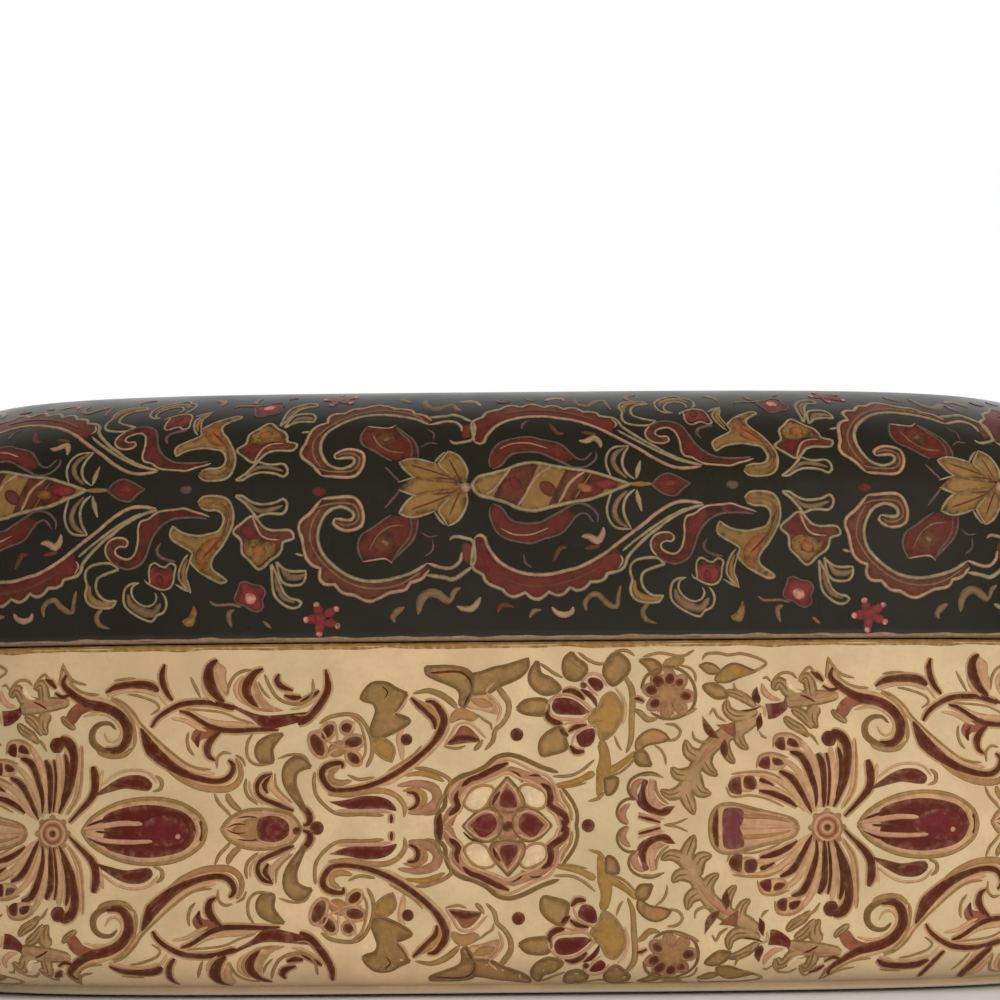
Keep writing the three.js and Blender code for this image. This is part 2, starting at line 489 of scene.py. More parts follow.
def perimeter():
    """The length round the wall, which the chart is as wide as."""
    s = sizes()
    angle = np.linspace(0, 2 * math.pi, 7201)
    reach = (abs(np.cos(angle)) ** s.plan_squareness + abs(np.sin(angle)) ** s.plan_squareness)
    reach = reach ** (-1 / s.plan_squareness)
    x = s.length / 2 * np.cos(angle) * reach
    y = s.width / 2 * np.sin(angle) * reach
    return float(np.hypot(np.diff(x), np.diff(y)).sum())


# Drawing with slip, flat in the chart. A stroke's places, widths and radii are in tenths of a millimetre,
# and axes, moves and heights in millimetres

PER_MM = 10
STEP = 0.6
GRID = 1.25
FINEST_GRID = 0.5
SINK = 0.05
LINE_LIFT = 0.11
BRUSH_LIFT = 0.09
SHAPE_LIFT = 0.05
HALO_LIFT = 0.03
HALO = 0.9
SHAPE_STEP = 0.025
DOT_LIFT = SHAPE_LIFT + 0.03
CRISP_ANGLE = 1.3


def smooth(points, closed=False):
    """Even points on a smooth line through the given ones. A third value marks a corner."""
    given = [np.array(p[:2], float) / PER_MM for p in points]
    corners = [k for k, p in enumerate(points) if len(p) > 2]
    if closed:
        turn = corners[0] if corners else 0
        given = given[turn:] + given[:turn]
        corners = [(k - turn) % len(points) for k in corners] + [len(points)]
        given.append(given[0])
    runs = []
    if closed and len(corners) == 1:
        runs.append([given[-2]] + given + [given[1]])
    else:
        stops = sorted({0, len(given) - 1, *corners} - {len(given)})
        for a, b in zip(stops, stops[1:]):
            part = given[a:b + 1]
            runs.append([2 * part[0] - part[1]] + part + [2 * part[-1] - part[-2]])
    out = []
    for run in runs:
        knots = np.r_[0, np.cumsum([max(1e-3, np.linalg.norm(q - p)) ** 0.5 for p, q in zip(run, run[1:])])]
        for k in range(1, len(run) - 2):
            p0, p1, p2, p3 = run[k - 1:k + 3]
            t0, t1, t2, t3 = knots[k - 1:k + 3]
            m1 = (t2 - t1) * ((p1 - p0) / (t1 - t0) - (p2 - p0) / (t2 - t0) + (p2 - p1) / (t2 - t1))
            m2 = (t2 - t1) * ((p2 - p1) / (t2 - t1) - (p3 - p1) / (t3 - t1) + (p3 - p2) / (t3 - t2))
            count = max(1, math.ceil(np.linalg.norm(p2 - p1) / STEP))
            for i in range(count):
                u = i / count
                out.append(p1 * (2 * u ** 3 - 3 * u * u + 1) + m1 * (u ** 3 - 2 * u * u + u)
                           + p2 * (3 * u * u - 2 * u ** 3) + m2 * (u ** 3 - u * u))
    if not closed:
        out.append(given[-1])
    return out


class Slipwork:
    """One length of ornament. Each glaze collects its own raised shapes."""

    def __init__(self, axis, traced=1.0, mirrored=1.0, fullness=1.0, haloed=()):
        self.axis = axis
        self.traced = traced
        self.mirrored = mirrored
        self.fullness = fullness
        self.haloed = haloed
        self.turned(0, 0, 0)
        self.meshes = {}

    def turned(self, degrees, x, y):
        """Turns what is drawn next, and then moves it."""
        self.cosine = math.cos(math.radians(degrees))
        self.sine = math.sin(math.radians(degrees))
        self.start = (x, y)

    def halves(self, both):
        return (1, -1) if both else (1,)

    def put(self, ink, vertices, faces, side):
        """Keeps a solid. Its points are s, distance off the axis, lift and depth."""
        known, sides = self.meshes.setdefault(ink, ([], []))
        start = len(known)
        for s, d, lift, depth in vertices:
            d = d * side
            rise = self.axis + d * (self.traced if d > 0 else self.mirrored)
            x = self.start[0] + s * self.cosine - rise * self.sine
            y = self.start[1] + s * self.sine + rise * self.cosine
            known.append((x, y, lift, depth))
        kept = side * self.traced > 0
        for face in faces:
            sides.append([start + k for k in (face if kept else face[::-1])])

    def ribbon(self, ink, path, widths, lift, both):
        """A raised stroke along a path, closed at both ends."""
        path = np.array(path, float)
        apart = np.r_[True, np.hypot(*np.diff(path, axis=0).T) > 0.02]
        path = path[apart]
        widths = np.array(widths)[apart]
        if len(path) < 2:
            return
        along = np.gradient(path, axis=0)
        along /= np.maximum(1e-6, np.linalg.norm(along, axis=1))[:, None]
        side = np.c_[-along[:, 1], along[:, 0]]
        root = -SINK - 0.1 * lift
        section = ((-0.5, root, 0.0), (-0.32, lift, 0.4), (0.0, lift * 1.1, 1.0), (0.32, lift, 0.4),
                   (0.5, root, 0.0), (0.0, 2 * root, 0.0))
        vertices = []
        for p, n, w in zip(path, side, widths):
            for across, rise, depth in section:
                vertices.append((p[0] + n[0] * across * w, p[1] + n[1] * across * w, rise, depth))
        m = len(section)
        faces = []
        for k in range(len(path) - 1):
            for j in range(m):
                i = (j + 1) % m
                faces.append((k * m + j, (k + 1) * m + j, (k + 1) * m + i, k * m + i))
        faces.append(tuple(range(m)))
        faces.append(tuple((len(path) - 1) * m + j for j in reversed(range(m))))
        for half in self.halves(both):
            self.put(ink, vertices, faces, half)

    def lines(self, ink, width, *paths, both=True, closed=False):
        for points in paths:
            self.line(ink, points, width, both, closed)

    def brushes(self, ink, lift, *strokes, both=True):
        for points in strokes:
            self.brush(ink, points, both, lift)

    def shapes(self, ink, *outlines, edge=None, width=5, both=True, level=0):
        for points in outlines:
            self.shape(ink, points, edge, width, both, level)

    def line(self, ink, points, width=5.5, both=True, closed=False):
        """A trailed line of one width, drawn out a little at its ends."""
        path = smooth(points, closed)
        if closed:
            path = path + path[:1]
        widths = np.full(len(path), width / PER_MM * self.fullness)
        if not closed and len(path) > 3:
            widths[[0, -1]] *= 0.35
            widths[[1, -2]] *= 0.8
        self.ribbon(ink, path, widths, LINE_LIFT, both)

    def brush(self, ink, points, both=True, lift=BRUSH_LIFT):
        """A stroke whose width is each point's third value."""
        path = smooth([p[:2] for p in points])
        centres = np.array([p[:2] for p in points], float)
        given = np.array([p[2] for p in points], float) / PER_MM
        marks = np.r_[0, np.cumsum(np.hypot(*np.diff(centres, axis=0).T))]
        run = np.r_[0, np.cumsum(np.hypot(*np.diff(np.array(path), axis=0).T))]
        widths = np.interp(run * marks[-1] / run[-1], marks, given) * self.fullness
        widths[0] *= 0.5
        widths[-1] *= 0.5
        if ink in self.haloed:
            self.ribbon("halo", path, widths + HALO, HALO_LIFT, both)
        self.ribbon(ink, path, widths, lift, both)

    def shape(self, ink, points, edge=None, width=5, both=True, level=0):
        """A filled outline, with a trailed line round it if edge names a glaze."""
        outline = [tuple(p) for p in smooth(points, True)]
        self.fill(ink, outline, SHAPE_LIFT + SHAPE_STEP * level, both)
        if edge:
            self.line(edge, points, width, both, closed=True)

    def dot(self, ink, x, y, radius, wide=1.0, turn=0.0, both=True, level=0):
        """A round or oval blob. wide is its length against its radius, at an angle of turn degrees."""
        x, y, radius = x / PER_MM, y / PER_MM, radius / PER_MM
        c, s = math.cos(math.radians(turn)), math.sin(math.radians(turn))
        count = max(10, math.ceil(2 * math.pi * radius * wide / 0.5))
        outline = []
        for k in range(count):
            a = 2 * math.pi * k / count
            u, v = radius * wide * math.cos(a), radius * math.sin(a)
            outline.append((x + u * c - v * s, y + u * s + v * c))
        self.fill(ink, outline, DOT_LIFT + SHAPE_STEP * level, both)

    def fill(self, ink, outline, lift, both):
        """A thin slab inside an outline, with points inside it so that it follows the curved wall."""
        ring = np.array(outline, float)
        low = ring.min(0)
        high = ring.max(0)
        spacing = min(GRID, max(FINEST_GRID, float((high - low).min()) / 3))
        inner = []
        starts = ring
        ends = np.roll(ring, -1, axis=0)
        for i, x in enumerate(np.arange(low[0] + spacing / 2, high[0], spacing)):
            for y in np.arange(low[1] + (0.5 if i % 2 else 1.0) * spacing / 2, high[1], spacing):
                crossing = (starts[:, 1] > y) != (ends[:, 1] > y)
                rise = np.where(crossing, ends[:, 1] - starts[:, 1], 1.0)
                at = starts[:, 0] + (y - starts[:, 1]) / rise * (ends[:, 0] - starts[:, 0])
                if (crossing & (at > x)).sum() % 2 == 0:
                    continue
                if np.hypot(ring[:, 0] - x, ring[:, 1] - y).min() > 0.35 * spacing:
                    inner.append((x, y))
        points = [Vector(p) for p in outline] + [Vector(p) for p in inner]
        found = geometry.delaunay_2d_cdt(points, [], [list(range(len(outline)))], 1, 1e-4)
        flat, triangles = found[0], found[2]
        if not triangles:
            return
        count = len(flat)
        reach = [float(np.hypot(ring[:, 0] - v.x, ring[:, 1] - v.y).min()) for v in flat]
        full = min(0.8, max(0.15, 0.7 * max(reach)))
        vertices = [(v.x, v.y, lift, min(1.0, r / full)) for v, r in zip(flat, reach)]
        vertices += [(v.x, v.y, -SINK - 0.1 * lift, 0.0) for v in flat]
        faces = []
        rims = {}
        for face in triangles:
            a, b, c = (flat[k] for k in face)
            if (b - a).cross(c - a) < 0:
                face = face[::-1]
            faces.append(tuple(face))
            faces.append(tuple(count + k for k in reversed(face)))
            for p, q in zip(face, face[1:] + face[:1]):
                rims[(p, q)] = True
        for p, q in list(rims):
            if (q, p) not in rims:
                faces.append((q, p, count + p, count + q))
        for half in self.halves(both):
            self.put(ink, vertices, faces, half)

    def lay(self, prefix, glazes, tree, values, body, slot):
        """Lays each glaze's shapes over a shell as one piece, by a tree with these inputs."""
        for ink, (vertices, faces) in self.meshes.items():
            places = [(x * MM, y * MM, lift * MM) for x, y, lift, _ in vertices]
            piece = make_object(prefix + ink, places, (), faces)
            depth = piece.data.attributes.new("depth", "FLOAT", "POINT")
            depth.data.foreach_set("value", [v[3] for v in vertices])
            soften(piece.data)
            shape_by(piece, tree, {**values, "Glaze": glazes[ink]})
            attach(piece, body)

    def lay_round(self, prefix, glazes, shell_name, repeats, body, slot):
        """Repeats the work round a shell's wall."""
        around = perimeter()
        self.lay(prefix, glazes, trail_tree(), {
            "Shell": bpy.data.objects[shell_name], "Repeats": repeats, "Period": around / repeats,
            "Perimeter": around}, body, slot)


def soften(mesh):
    """Smooth shading, with the steep rims of slabs kept crisp."""
    work = bmesh.new()
    work.from_mesh(mesh)
    for face in work.faces:
        face.smooth = True
    for edge in work.edges:
        if len(edge.link_faces) == 2 and edge.calc_face_angle(0.0) > CRISP_ANGLE:
            edge.smooth = False
    work.to_mesh(mesh)
    work.free()


# The lid's band: s runs round the lid, d down from the band's axis, and the upper half is a mirror image

def ends_sharp(edge):
    """The same edge with a corner at each end."""
    return [(*edge[0][:2], 1), *edge[1:-1], (*edge[-1][:2], 1)]


def between(first, second):
    """The closed outline of the strip between two edges that run the same way."""
    return ends_sharp(first) + ends_sharp(second)[::-1]


def lid_scroll(work):
    """The open scroll that holds the tulip, with a lobed back and a curled head."""
    inner = [(-110, 118), (-135, 133), (-190, 145), (-228, 137), (-269, 102), (-276, 72),
        (-264, 42), (-253, 34)]
    back = [(-107, 128), (-120, 142), (-136, 147, 1), (-143, 157), (-167, 162, 1), (-199, 175),
        (-221, 165, 1), (-238, 162), (-250, 149, 1), (-266, 148), (-273, 140), (-272, 124, 1),
        (-283, 120), (-293, 109), (-300, 78, 1), (-305, 63), (-302, 53), (-287, 40), (-270, 19)]
    head = [(-270, 19), (-255, 17.5), (-220, 18), (-208, 36), (-210, 60), (-235, 67), (-252, 56), (-250, 49)]
    eye = [(-253, 34), (-240, 31), (-224, 38), (-221, 46), (-225, 51), (-250, 49)]
    work.shape("brick", between(back, inner))
    work.shape("brick", between(head, eye), level=1)
    work.line("pink_gold", back, 6)
    work.line("khaki", inner + eye[1:], 6.2)
    work.line("pink_gold", head, 6)
    work.lines("tan", 4, [(-276, 32), (-260, 27), (-222, 28), (-214, 40), (-215, 51), (-224, 58), (-238, 59),
        (-248, 54)],
        [(-120, 131), (-150, 149), (-190, 156), (-226, 148), (-254, 130), (-276, 106), (-288, 80), (-284, 54),
         (-272, 34)])
    work.line("khaki", [(-298, 105), (-310, 102)], 6)


def scroll_joint(work):
    """Where the scroll meets the crescent under the lotus."""
    work.shape("brick", [(-56, 88), (-44, 90), (-46, 118), (-54, 116), (-58, 102)])
    work.line("khaki", [(-76, 83), (-70, 78), (-50, 81), (-42, 84), (-38, 114), (-42, 124)], 6)
    work.line("khaki", [(-42, 124), (-72, 143), (-84, 140), (-112, 136)], 7)
    work.line("pink_gold", [(-58, 102), (-60, 114), (-70, 124), (-82, 126), (-110, 118)], 6)


def lid_crescent(work):
    """The long crescent with a lobed back, which runs out into a thin tail."""
    inner = [(-23, 80), (-20, 90), (-2, 116), (30, 133), (70, 137), (104, 130), (120, 126), (158, 106),
        (174, 94), (182, 108)]
    back = [(-38, 80), (-41, 100), (-42, 124), (-26, 136, 1), (-20, 148), (4, 159, 1), (10, 166), (20, 170),
        (38, 164, 1), (48, 172), (58, 174), (74, 163, 1), (84, 168), (94, 167), (106, 156, 1), (116, 161),
        (126, 159), (137, 148, 1), (148, 148), (158, 144), (162, 136, 1), (186, 126), (186, 116)]
    work.shape("maroon", between(back, inner))
    work.line("pink_gold", [(-38, 80, 1), (-30, 76)] + inner[:-1] + [(190, 82), (220, 60), (234, 48),
        (264, 30), (280, 27), (308, 30)], 6.2)
    work.line("khaki", [(-38, 80), (-42, 124)] + back[3:-2] + [(184, 130), (190, 122), (193, 112),
        (226, 78), (240, 68), (252, 58), (284, 40), (310, 32)], 6)
    work.line("khaki", [(186, 102), (200, 90), (248, 56), (284, 37)], 5)
    work.line("pink_gold", [(182, 108), (186, 116), (180, 128)], 4)
    work.line("brick", [(10, 144), (40, 153), (80, 152), (120, 141), (154, 124)], 7)


def bud_half(x):
    """Half height of the closed bud at x."""
    return float(np.interp(x, (-42, -32, -24, 0, 24, 48, 72, 90, 132, 150, 170, 198),
        (0, 14, 19, 21, 34, 40, 36, 30, 24, 19, 11, 0)))


def bud(work):
    """The striped bud on the axis."""
    marks = (-42, -32, -12, 12, 28, 52, 80, 108, 136, 164, 184)
    lower = [(x, bud_half(x)) for x in marks] + [(198, 0, 1)]
    outline = [(*lower[0], 1)] + lower[1:] + [(x, -y) for x, y in reversed(lower[1:-1])]
    work.shape("ochre", outline, "khaki", 6.5, both=False)
    for start, end, ink in ((2, 44, "brick"), (86, 124, "brick"), (126, 162, "maroon")):
        steps = [start + (end - start) * k / 3 for k in range(4)]
        top = [(x + 16, -bud_half(x + 16) * 0.92) for x in steps]
        foot = [(x - 12, bud_half(x - 12) * 0.92) for x in steps]
        work.shape(ink, between(top, foot), both=False, level=1)
    work.dot("red", 25, -3, 8, 1.6, 60, False, 2)
    work.dot("orange", 130, 5, 7, 1.8, 10, False, 2)
    work.dot("brick", 74, 6, 10, 1.5, 40, False, 1)
    work.dot("red", 162, 0, 8, 2.4, 0, False, 2)
    work.lines("pink_gold", 6, [(-20, 14), (-8, 6), (0, -4), (18, -30)],
        [(28, 32), (38, 18), (60, -18), (80, -32)],
        [(90, 28), (97, 16), (104, 2), (114, -10), (130, -22)], both=False)


def leaf_under_bud(work):
    """The maroon leaf between the bud and the crescent."""
    outer = [(-14, 32), (-15, 46), (0, 76), (48, 89), (62, 84), (94, 74), (110, 56), (118, 47)]
    inner = [(-10, 28), (4, 36), (12, 48), (22, 56), (60, 58), (76, 50), (100, 37)]
    work.shape("maroon", between(outer, inner))
    work.line("mauve", outer + [(130, 44), (143, 58)], 4)
    work.line("mauve", inner + [(112, 30), (128, 30), (140, 36), (149, 48), (148, 58)], 4.5)
    work.line("pink_gold", [(2, 66), (20, 75), (46, 76), (74, 66)], 3)


def lid_tulip(work):
    """The tulip in the scroll's mouth."""
    work.shape("maroon", [(-139, 47), (-168, 46), (-182, 55), (-205, 70), (-214, 92), (-208, 114, 1),
        (-172, 111), (-163, 118, 1), (-153, 99), (-139, 90), (-128, 78), (-125, 50, 1)])
    work.shape("brick", [(-194, 80), (-172, 70), (-158, 80), (-162, 98), (-186, 102)], level=1)
    work.dot("tan", -174, 86, 4.5, 1.4, 40, level=2)
    work.line("tan", [(-198, 98), (-186, 76), (-166, 62), (-146, 60)], 3.5)
    work.lines("mauve", 4.5, [(-206, 70), (-214, 82), (-215, 96), (-207, 116)],
        [(-207, 72), (-190, 62), (-178, 53), (-164, 44)],
        [(-135, 50), (-134, 65), (-140, 83), (-153, 98), (-164, 116)],
        [(-124, 50), (-126, 68), (-133, 84), (-148, 99), (-160, 112)])
    work.line("pink_gold", [(-207, 115), (-195, 113), (-172, 111), (-163, 118)], 3.5)
    work.lines("mauve", 3.5, [(-120, 70), (-108, 78), (-94, 76)],
        [(-102, 82), (-102, 98), (-114, 108)])


def lid_lotus(work):
    """The golden lotus before the bud, with a petal on the axis and two on each side."""
    work.shape("ochre", [(-50, 2, 1), (-90, -22), (-126, -16), (-154, 6, 1), (-126, 16), (-90, 22)],
        both=False)
    work.shape("ochre", [(-60, 2, 1), (-129, 14), (-153, 42, 1), (-135, 48), (-70, 26)], level=1)
    work.shape("ochre", [(-52, 4, 1), (-80, 16), (-94, 34), (-78, 62, 1), (-62, 52), (-53, 39),
        (-48, 10)], level=2)
    work.lines("khaki", 5, [(-129, 14), (-142, 26), (-153, 42)],
        [(-78, 62), (-62, 52), (-49, 26), (-50, 12)], [(-99, 40), (-91, 52), (-83, 60)])
    work.lines("khaki", 4.5, [(-153, 42), (-135, 48), (-120, 46), (-98, 39)],
        [(-78, 62), (-86, 49), (-92, 38), (-76, 20)])
    work.line("khaki", [(-154, 6), (-126, 16)], 4)
    work.lines("brick", 3.5, [(-100, 13), (-70, 10), (-62, 3)], [(-134, 36), (-104, 26), (-74, 14)],
        [(-76, 46), (-68, 28), (-60, 10)])
    work.dot("pink_gold", -51, 3, 8, both=False, level=3)
    work.line("mauve", [(-174, 34), (-164, 22), (-150, 6)], 4.5)


def axis_leaves(work):
    """The pointed leaves and the lozenge on the axis after the bud."""
    work.brush("tan", [(194, 10, 4), (179, 26, 8), (174, 42, 9), (180, 56, 9), (194, 66, 4)])
    work.line("khaki", [(170, 12), (163, 36), (166, 54), (176, 66), (200, 69)], 4.5)
    work.line("khaki", [(206, 8), (194, 18), (188, 34), (190, 50), (200, 69)], 5)
    work.brush("khaki", [(208, 9, 4), (211, 24, 9), (216, 42, 3)])
    work.brush("ochre", [(196, 0, 5), (214, 0, 9), (234, 0, 5)], both=False)
    lozenge = [(232, 2, 1), (240, -10), (256, -18), (290, 0, 1), (278, 8), (268, 18), (258, 18), (244, 12)]
    work.shape("maroon", lozenge, "mauve", 4, both=False)
    work.dot("red", 260, 0, 6, 1.6, 0, False, 2)
    work.dot("maroon", -274, 8, 7, 1.6, 0, False)
    work.dot("mauve", 354, 2, 7, 1.4, 0, False)


def s_leaf(work):
    """The long curved leaf with a hooked end."""
    upper = [(380, 40), (366, 36), (352, 31), (340, 32), (310, 36), (296, 46), (284, 50), (280, 60),
        (280, 78), (274, 100), (264, 107), (246, 100)]
    under = [(386, 47), (374, 45), (330, 48), (306, 68), (288, 110), (278, 118), (264, 122),
        (250, 118), (238, 110)]
    work.shape("maroon", between(upper, under))
    hook = [(246, 100), (244, 92), (252, 87), (260, 88), (264, 82), (260, 76), (248, 74), (236, 78),
        (229, 88), (230, 100), (238, 110)]
    work.shape("brick", [(*hook[0], 1)] + hook[1:-1] + [(*hook[-1], 1)])
    work.line("pink_gold", [(390, 44)] + upper + hook[1:], 4.2)
    work.line("mauve", under, 4.5)


def curled_leaf(work):
    """The ochre leaf that curls under the long leaf."""
    outline = [(250, 122, 1), (238, 113), (206, 116), (198, 124), (197, 134), (200, 146),
        (197, 158), (200, 170), (210, 178), (240, 179), (246, 170, 1), (232, 170), (220, 162), (214, 150),
        (216, 136), (226, 130)]
    work.line("khaki", outline, 5, closed=True)
    work.brush("ochre", [(204, 146, 4), (204, 162, 9), (214, 172, 12), (230, 175, 10), (244, 173, 4)])
    work.brush("tan", [(226, 180, 5), (215, 193, 9), (220, 206, 8), (236, 212, 4)])


def cupped_flower(work):
    """The small tulip that sits in an open curl."""
    curl_out = [(282, 143), (268, 145), (260, 152), (260, 178), (302, 202), (308, 194), (320, 188),
        (324, 178), (322, 166), (316, 158)]
    curl_in = [(282, 143), (272, 148), (270, 160), (278, 172), (292, 179), (304, 176), (309, 166), (306, 158)]
    work.brush("tan", [(264, 160, 5), (269, 175, 11), (286, 186, 15), (304, 189, 13), (315, 174, 6)])
    work.line("khaki", curl_out, 4.5)
    work.line("khaki", curl_in, 4)
    work.shape("red", [(298, 142), (299, 126), (306, 118), (316, 124), (329, 119), (334, 130),
        (332, 144), (324, 152), (308, 150)])
    work.dot("maroon", 314, 140, 6, 1.4, 70, level=2)
    work.line("khaki", [(290, 138), (294, 144), (298, 144), (297, 130), (299, 117), (306, 113), (314, 118),
        (322, 120), (330, 114), (338, 118), (336, 130), (334, 144), (328, 152), (316, 154), (294, 144)], 4)
    work.line("mauve", [(315, 83), (309, 93), (312, 102), (325, 109), (338, 111)], 6)
    work.line("khaki", [(338, 146), (358, 158)], 5)


def trumpet(work):
    """The trumpet flower that arches over from the axis."""
    top = [(372, 22), (380, 14), (412, 15), (422, 24), (426, 52), (408, 90), (398, 102),
        (392, 114), (394, 124), (416, 142)]
    edge = [(376, 30), (388, 34), (400, 34), (408, 38), (412, 48), (404, 66), (390, 70), (376, 73),
        (348, 68), (334, 58)]
    mouth = [(334, 58), (330, 66), (331, 76), (364, 100), (360, 110), (374, 128)]
    lip = [(416, 142), (408, 145), (396, 140), (374, 128)]
    work.shape("ochre", ends_sharp(top) + lip[1:-1] + ends_sharp(mouth[::-1]) + edge[-2::-1])
    work.shape("orange", [(382, 82), (410, 76), (400, 98), (388, 116), (386, 130), (372, 120),
        (368, 106)], level=1)
    work.line("khaki", top + lip[1:], 4.8)
    work.line("khaki", edge + [(*mouth[0], 1)] + mouth[1:], 4.5)
    work.line("brick", [(409, 24), (419, 40), (413, 66), (396, 90), (380, 106)], 4)
    work.line("tan", [(384, 23), (404, 24), (416, 34), (419, 50), (412, 68), (398, 88)], 3.5)
    leaf_out = [(358, 100), (350, 110), (343, 136), (362, 160)]
    leaf_in = [(360, 110), (354, 134), (358, 146), (362, 160)]
    work.brush("ochre", [(356, 108, 3), (350, 124, 7), (351, 140, 8), (360, 156, 3)])
    work.line("khaki", leaf_out, 4.2)
    work.line("khaki", leaf_in, 3.5)


def bell(work):
    """The bell flower with an orange mouth, and the leaves round it."""
    outline = [(426, 68), (440, 54), (456, 44), (474, 62), (486, 66), (514, 67), (518, 78),
        (502, 84), (500, 94), (494, 104), (484, 110), (466, 125), (450, 110), (440, 100), (438, 80)]
    work.shape("brick", outline, "khaki", 5)
    work.shape("maroon", [(436, 66), (452, 52), (464, 66), (480, 76), (498, 76), (474, 86),
        (448, 80)], level=1)
    work.shape("ochre", [(444, 86), (458, 79), (474, 83), (490, 86), (488, 100), (474, 112),
        (464, 119), (452, 108), (444, 98)], level=2)
    work.dot("orange", 466, 97, 9, 1.3, 30, level=3)
    for x, y in ((454, 90), (463, 86), (475, 91), (472, 104), (457, 103)):
        work.line("brick", [(x, y), ((x + 465) / 2, (y + 96) / 2)], 3.5)
    work.line("pink_gold", [(456, 46), (468, 72), (480, 79), (496, 80)], 4.2)
    leaf = [(430, 13, 1), (440, 13), (450, 20), (466, 26), (492, 23), (502, 18), (508, 24), (506, 36),
        (500, 41), (486, 40), (474, 41), (462, 46, 1), (444, 24)]
    work.line("khaki", leaf, 5, closed=True)
    work.brushes("tan", BRUSH_LIFT, [(444, 20, 3), (464, 35, 8), (484, 34, 8), (502, 28, 4)],
        [(490, 134, 3), (493, 152, 7), (504, 169, 9), (520, 176, 4)],
        [(498, 122, 3), (510, 136, 12), (528, 137, 9), (534, 132, 3)])
    low = [(484, 118, 1), (490, 166), (514, 184), (526, 182), (530, 176, 1), (524, 172), (514, 170),
        (504, 162), (490, 128)]
    work.line("khaki", low, 5, closed=True)
    side = [(492, 114, 1), (500, 122), (512, 128), (536, 128, 1), (536, 138), (530, 148),
        (506, 148), (498, 140)]
    work.line("khaki", side, 5, closed=True)


def highlight_flower(work):
    """The small red flower with a pink middle, its stem and leaf."""
    work.shape("red", [(436, 146), (444, 143), (456, 148), (468, 150), (475, 160), (470, 172), (472, 182),
        (464, 189), (452, 186), (444, 180), (436, 178), (428, 170), (434, 154)], "mauve", 3.5)
    work.dot("bright_pink", 452, 169, 8.5, 1.1, 30, level=2)
    work.line("tan", [(390, 172), (398, 178), (426, 178), (438, 182)], 5)
    work.brush("tan", [(428, 186, 5), (420, 190, 9), (420, 200, 8), (424, 212, 4)])
    work.shape("ochre", [(366, 178, 1), (371, 188), (364, 210), (354, 210), (348, 202, 1), (359, 194)])
    work.line("tan", [(472, 204), (484, 214)], 7)


def star_flower(work):
    """The five-petalled red star near the rim."""
    for x, y in ((-278, 179), (-248, 186), (-246, 212), (-274, 224), (-294, 202)):
        turn = math.degrees(math.atan2(y - 200, x + 272))
        work.dot("red", (x - 272) / 2, (y + 200) / 2, 7.5, 1.9, turn)
        work.dot("bright_pink", x, y, 4.2, 1.2, turn + 90, level=2)
    work.dot("red", -272, 200, 9.5, level=1)


def lid_marks(work):
    """The loose strokes that fill the ground between the flowers and the edge."""
    work.brushes("tan", BRUSH_LIFT, [(-145, 184, 5), (-155, 190, 11), (-163, 200, 10), (-159, 207, 5)],
        [(-124, 196, 6), (-120, 174, 14), (-110, 164, 14), (-96, 164, 14), (-80, 175, 12), (-74, 176, 8)],
         [(-74, 176, 7), (-70, 162, 9), (-60, 155, 5)],
        [(44, 202, 5), (50, 192, 9), (62, 190, 5)],
        [(130, 192, 5), (128, 180, 8), (135, 170, 9), (147, 167, 9), (156, 176, 10), (166, 184, 10),
         (176, 186, 8), (178, 174, 7), (182, 154, 5)])
    work.brush("khaki", [(-66, 184, 5), (-54, 188, 10), (-42, 187, 11), (-34, 178, 9), (-30, 170, 5)])
    work.brushes("brick", BRUSH_LIFT, [(-4, 194, 5), (0, 184, 9), (10, 182, 9), (20, 186, 5)],
        [(102, 96, 4), (92, 96, 8), (86, 106, 8), (80, 118, 4)],
        [(128, 98, 5), (139, 96, 8), (152, 93, 6)])
    work.brushes("pink_gold", BRUSH_LIFT,
        [(78, 186, 5), (84, 194, 9), (96, 198, 10), (108, 194, 9), (110, 186, 5)],
        [(124, 80, 6), (134, 79, 10), (148, 86, 13), (156, 76, 9), (157, 66, 5)])
    work.brush("mauve", [(36, 106, 4), (38, 118, 5), (48, 126, 3)])


def draw_crown():
    """The lid's top: the band's middle laid out both ways from a rosette, in a double border."""
    work = Slipwork(0.0, fullness=1.12)
    for set_in, ink, width in ((185, "khaki", 7), (202, "pink_gold", 4), (244, "pink_gold", 4)):
        work.line(ink, plan_edge(set_in, 120), width, both=False, closed=True)
    for k, (x, y) in enumerate(plan_edge(223, 72)):
        work.dot("ochre" if k % 2 else "red", x, y, 8.5, both=False)
    for degrees, x, y in ((0, 35, 0), (180, -35, 0)):
        work.turned(degrees, x, y)
        for draw in (lid_scroll, scroll_joint, lid_crescent, bud, leaf_under_bud, lid_tulip, lid_lotus,
                axis_leaves):
            draw(work)
    for degrees, y in ((90, -19), (270, 19)):
        work.turned(degrees, 0, y)
        trumpet(work)
        bell(work)
    work.turned(0, 0, 0)
    for k in range(6):
        a = math.pi * k / 3
        work.dot("red", 21 * math.cos(a), 21 * math.sin(a), 8, 1.5, math.degrees(a), False)
    work.dot("ochre", 0, 0, 11, both=False, level=2)
    return work


def draw_lid_band():
    """One repeat of the lid's band."""
    work = Slipwork(23.6, -1.0, -0.88, 1.12)
    for draw in (lid_scroll, scroll_joint, lid_crescent, bud, leaf_under_bud, lid_tulip, lid_lotus,
            axis_leaves, s_leaf, curled_leaf, cupped_flower, trumpet, bell, highlight_flower, star_flower,
            lid_marks):
        draw(work)
    return work


# The body's band: s runs round the body, h up from the band's axis, and the lower half is a mirror image

def ring(work, ink, x, y, radius, width):
    """A round line."""
    turns = np.linspace(0, 2 * math.pi, 13)[:-1]
    points = [(x + radius * math.cos(a), y + radius * math.sin(a)) for a in turns]
    work.line(ink, points, width, both=False, closed=True)


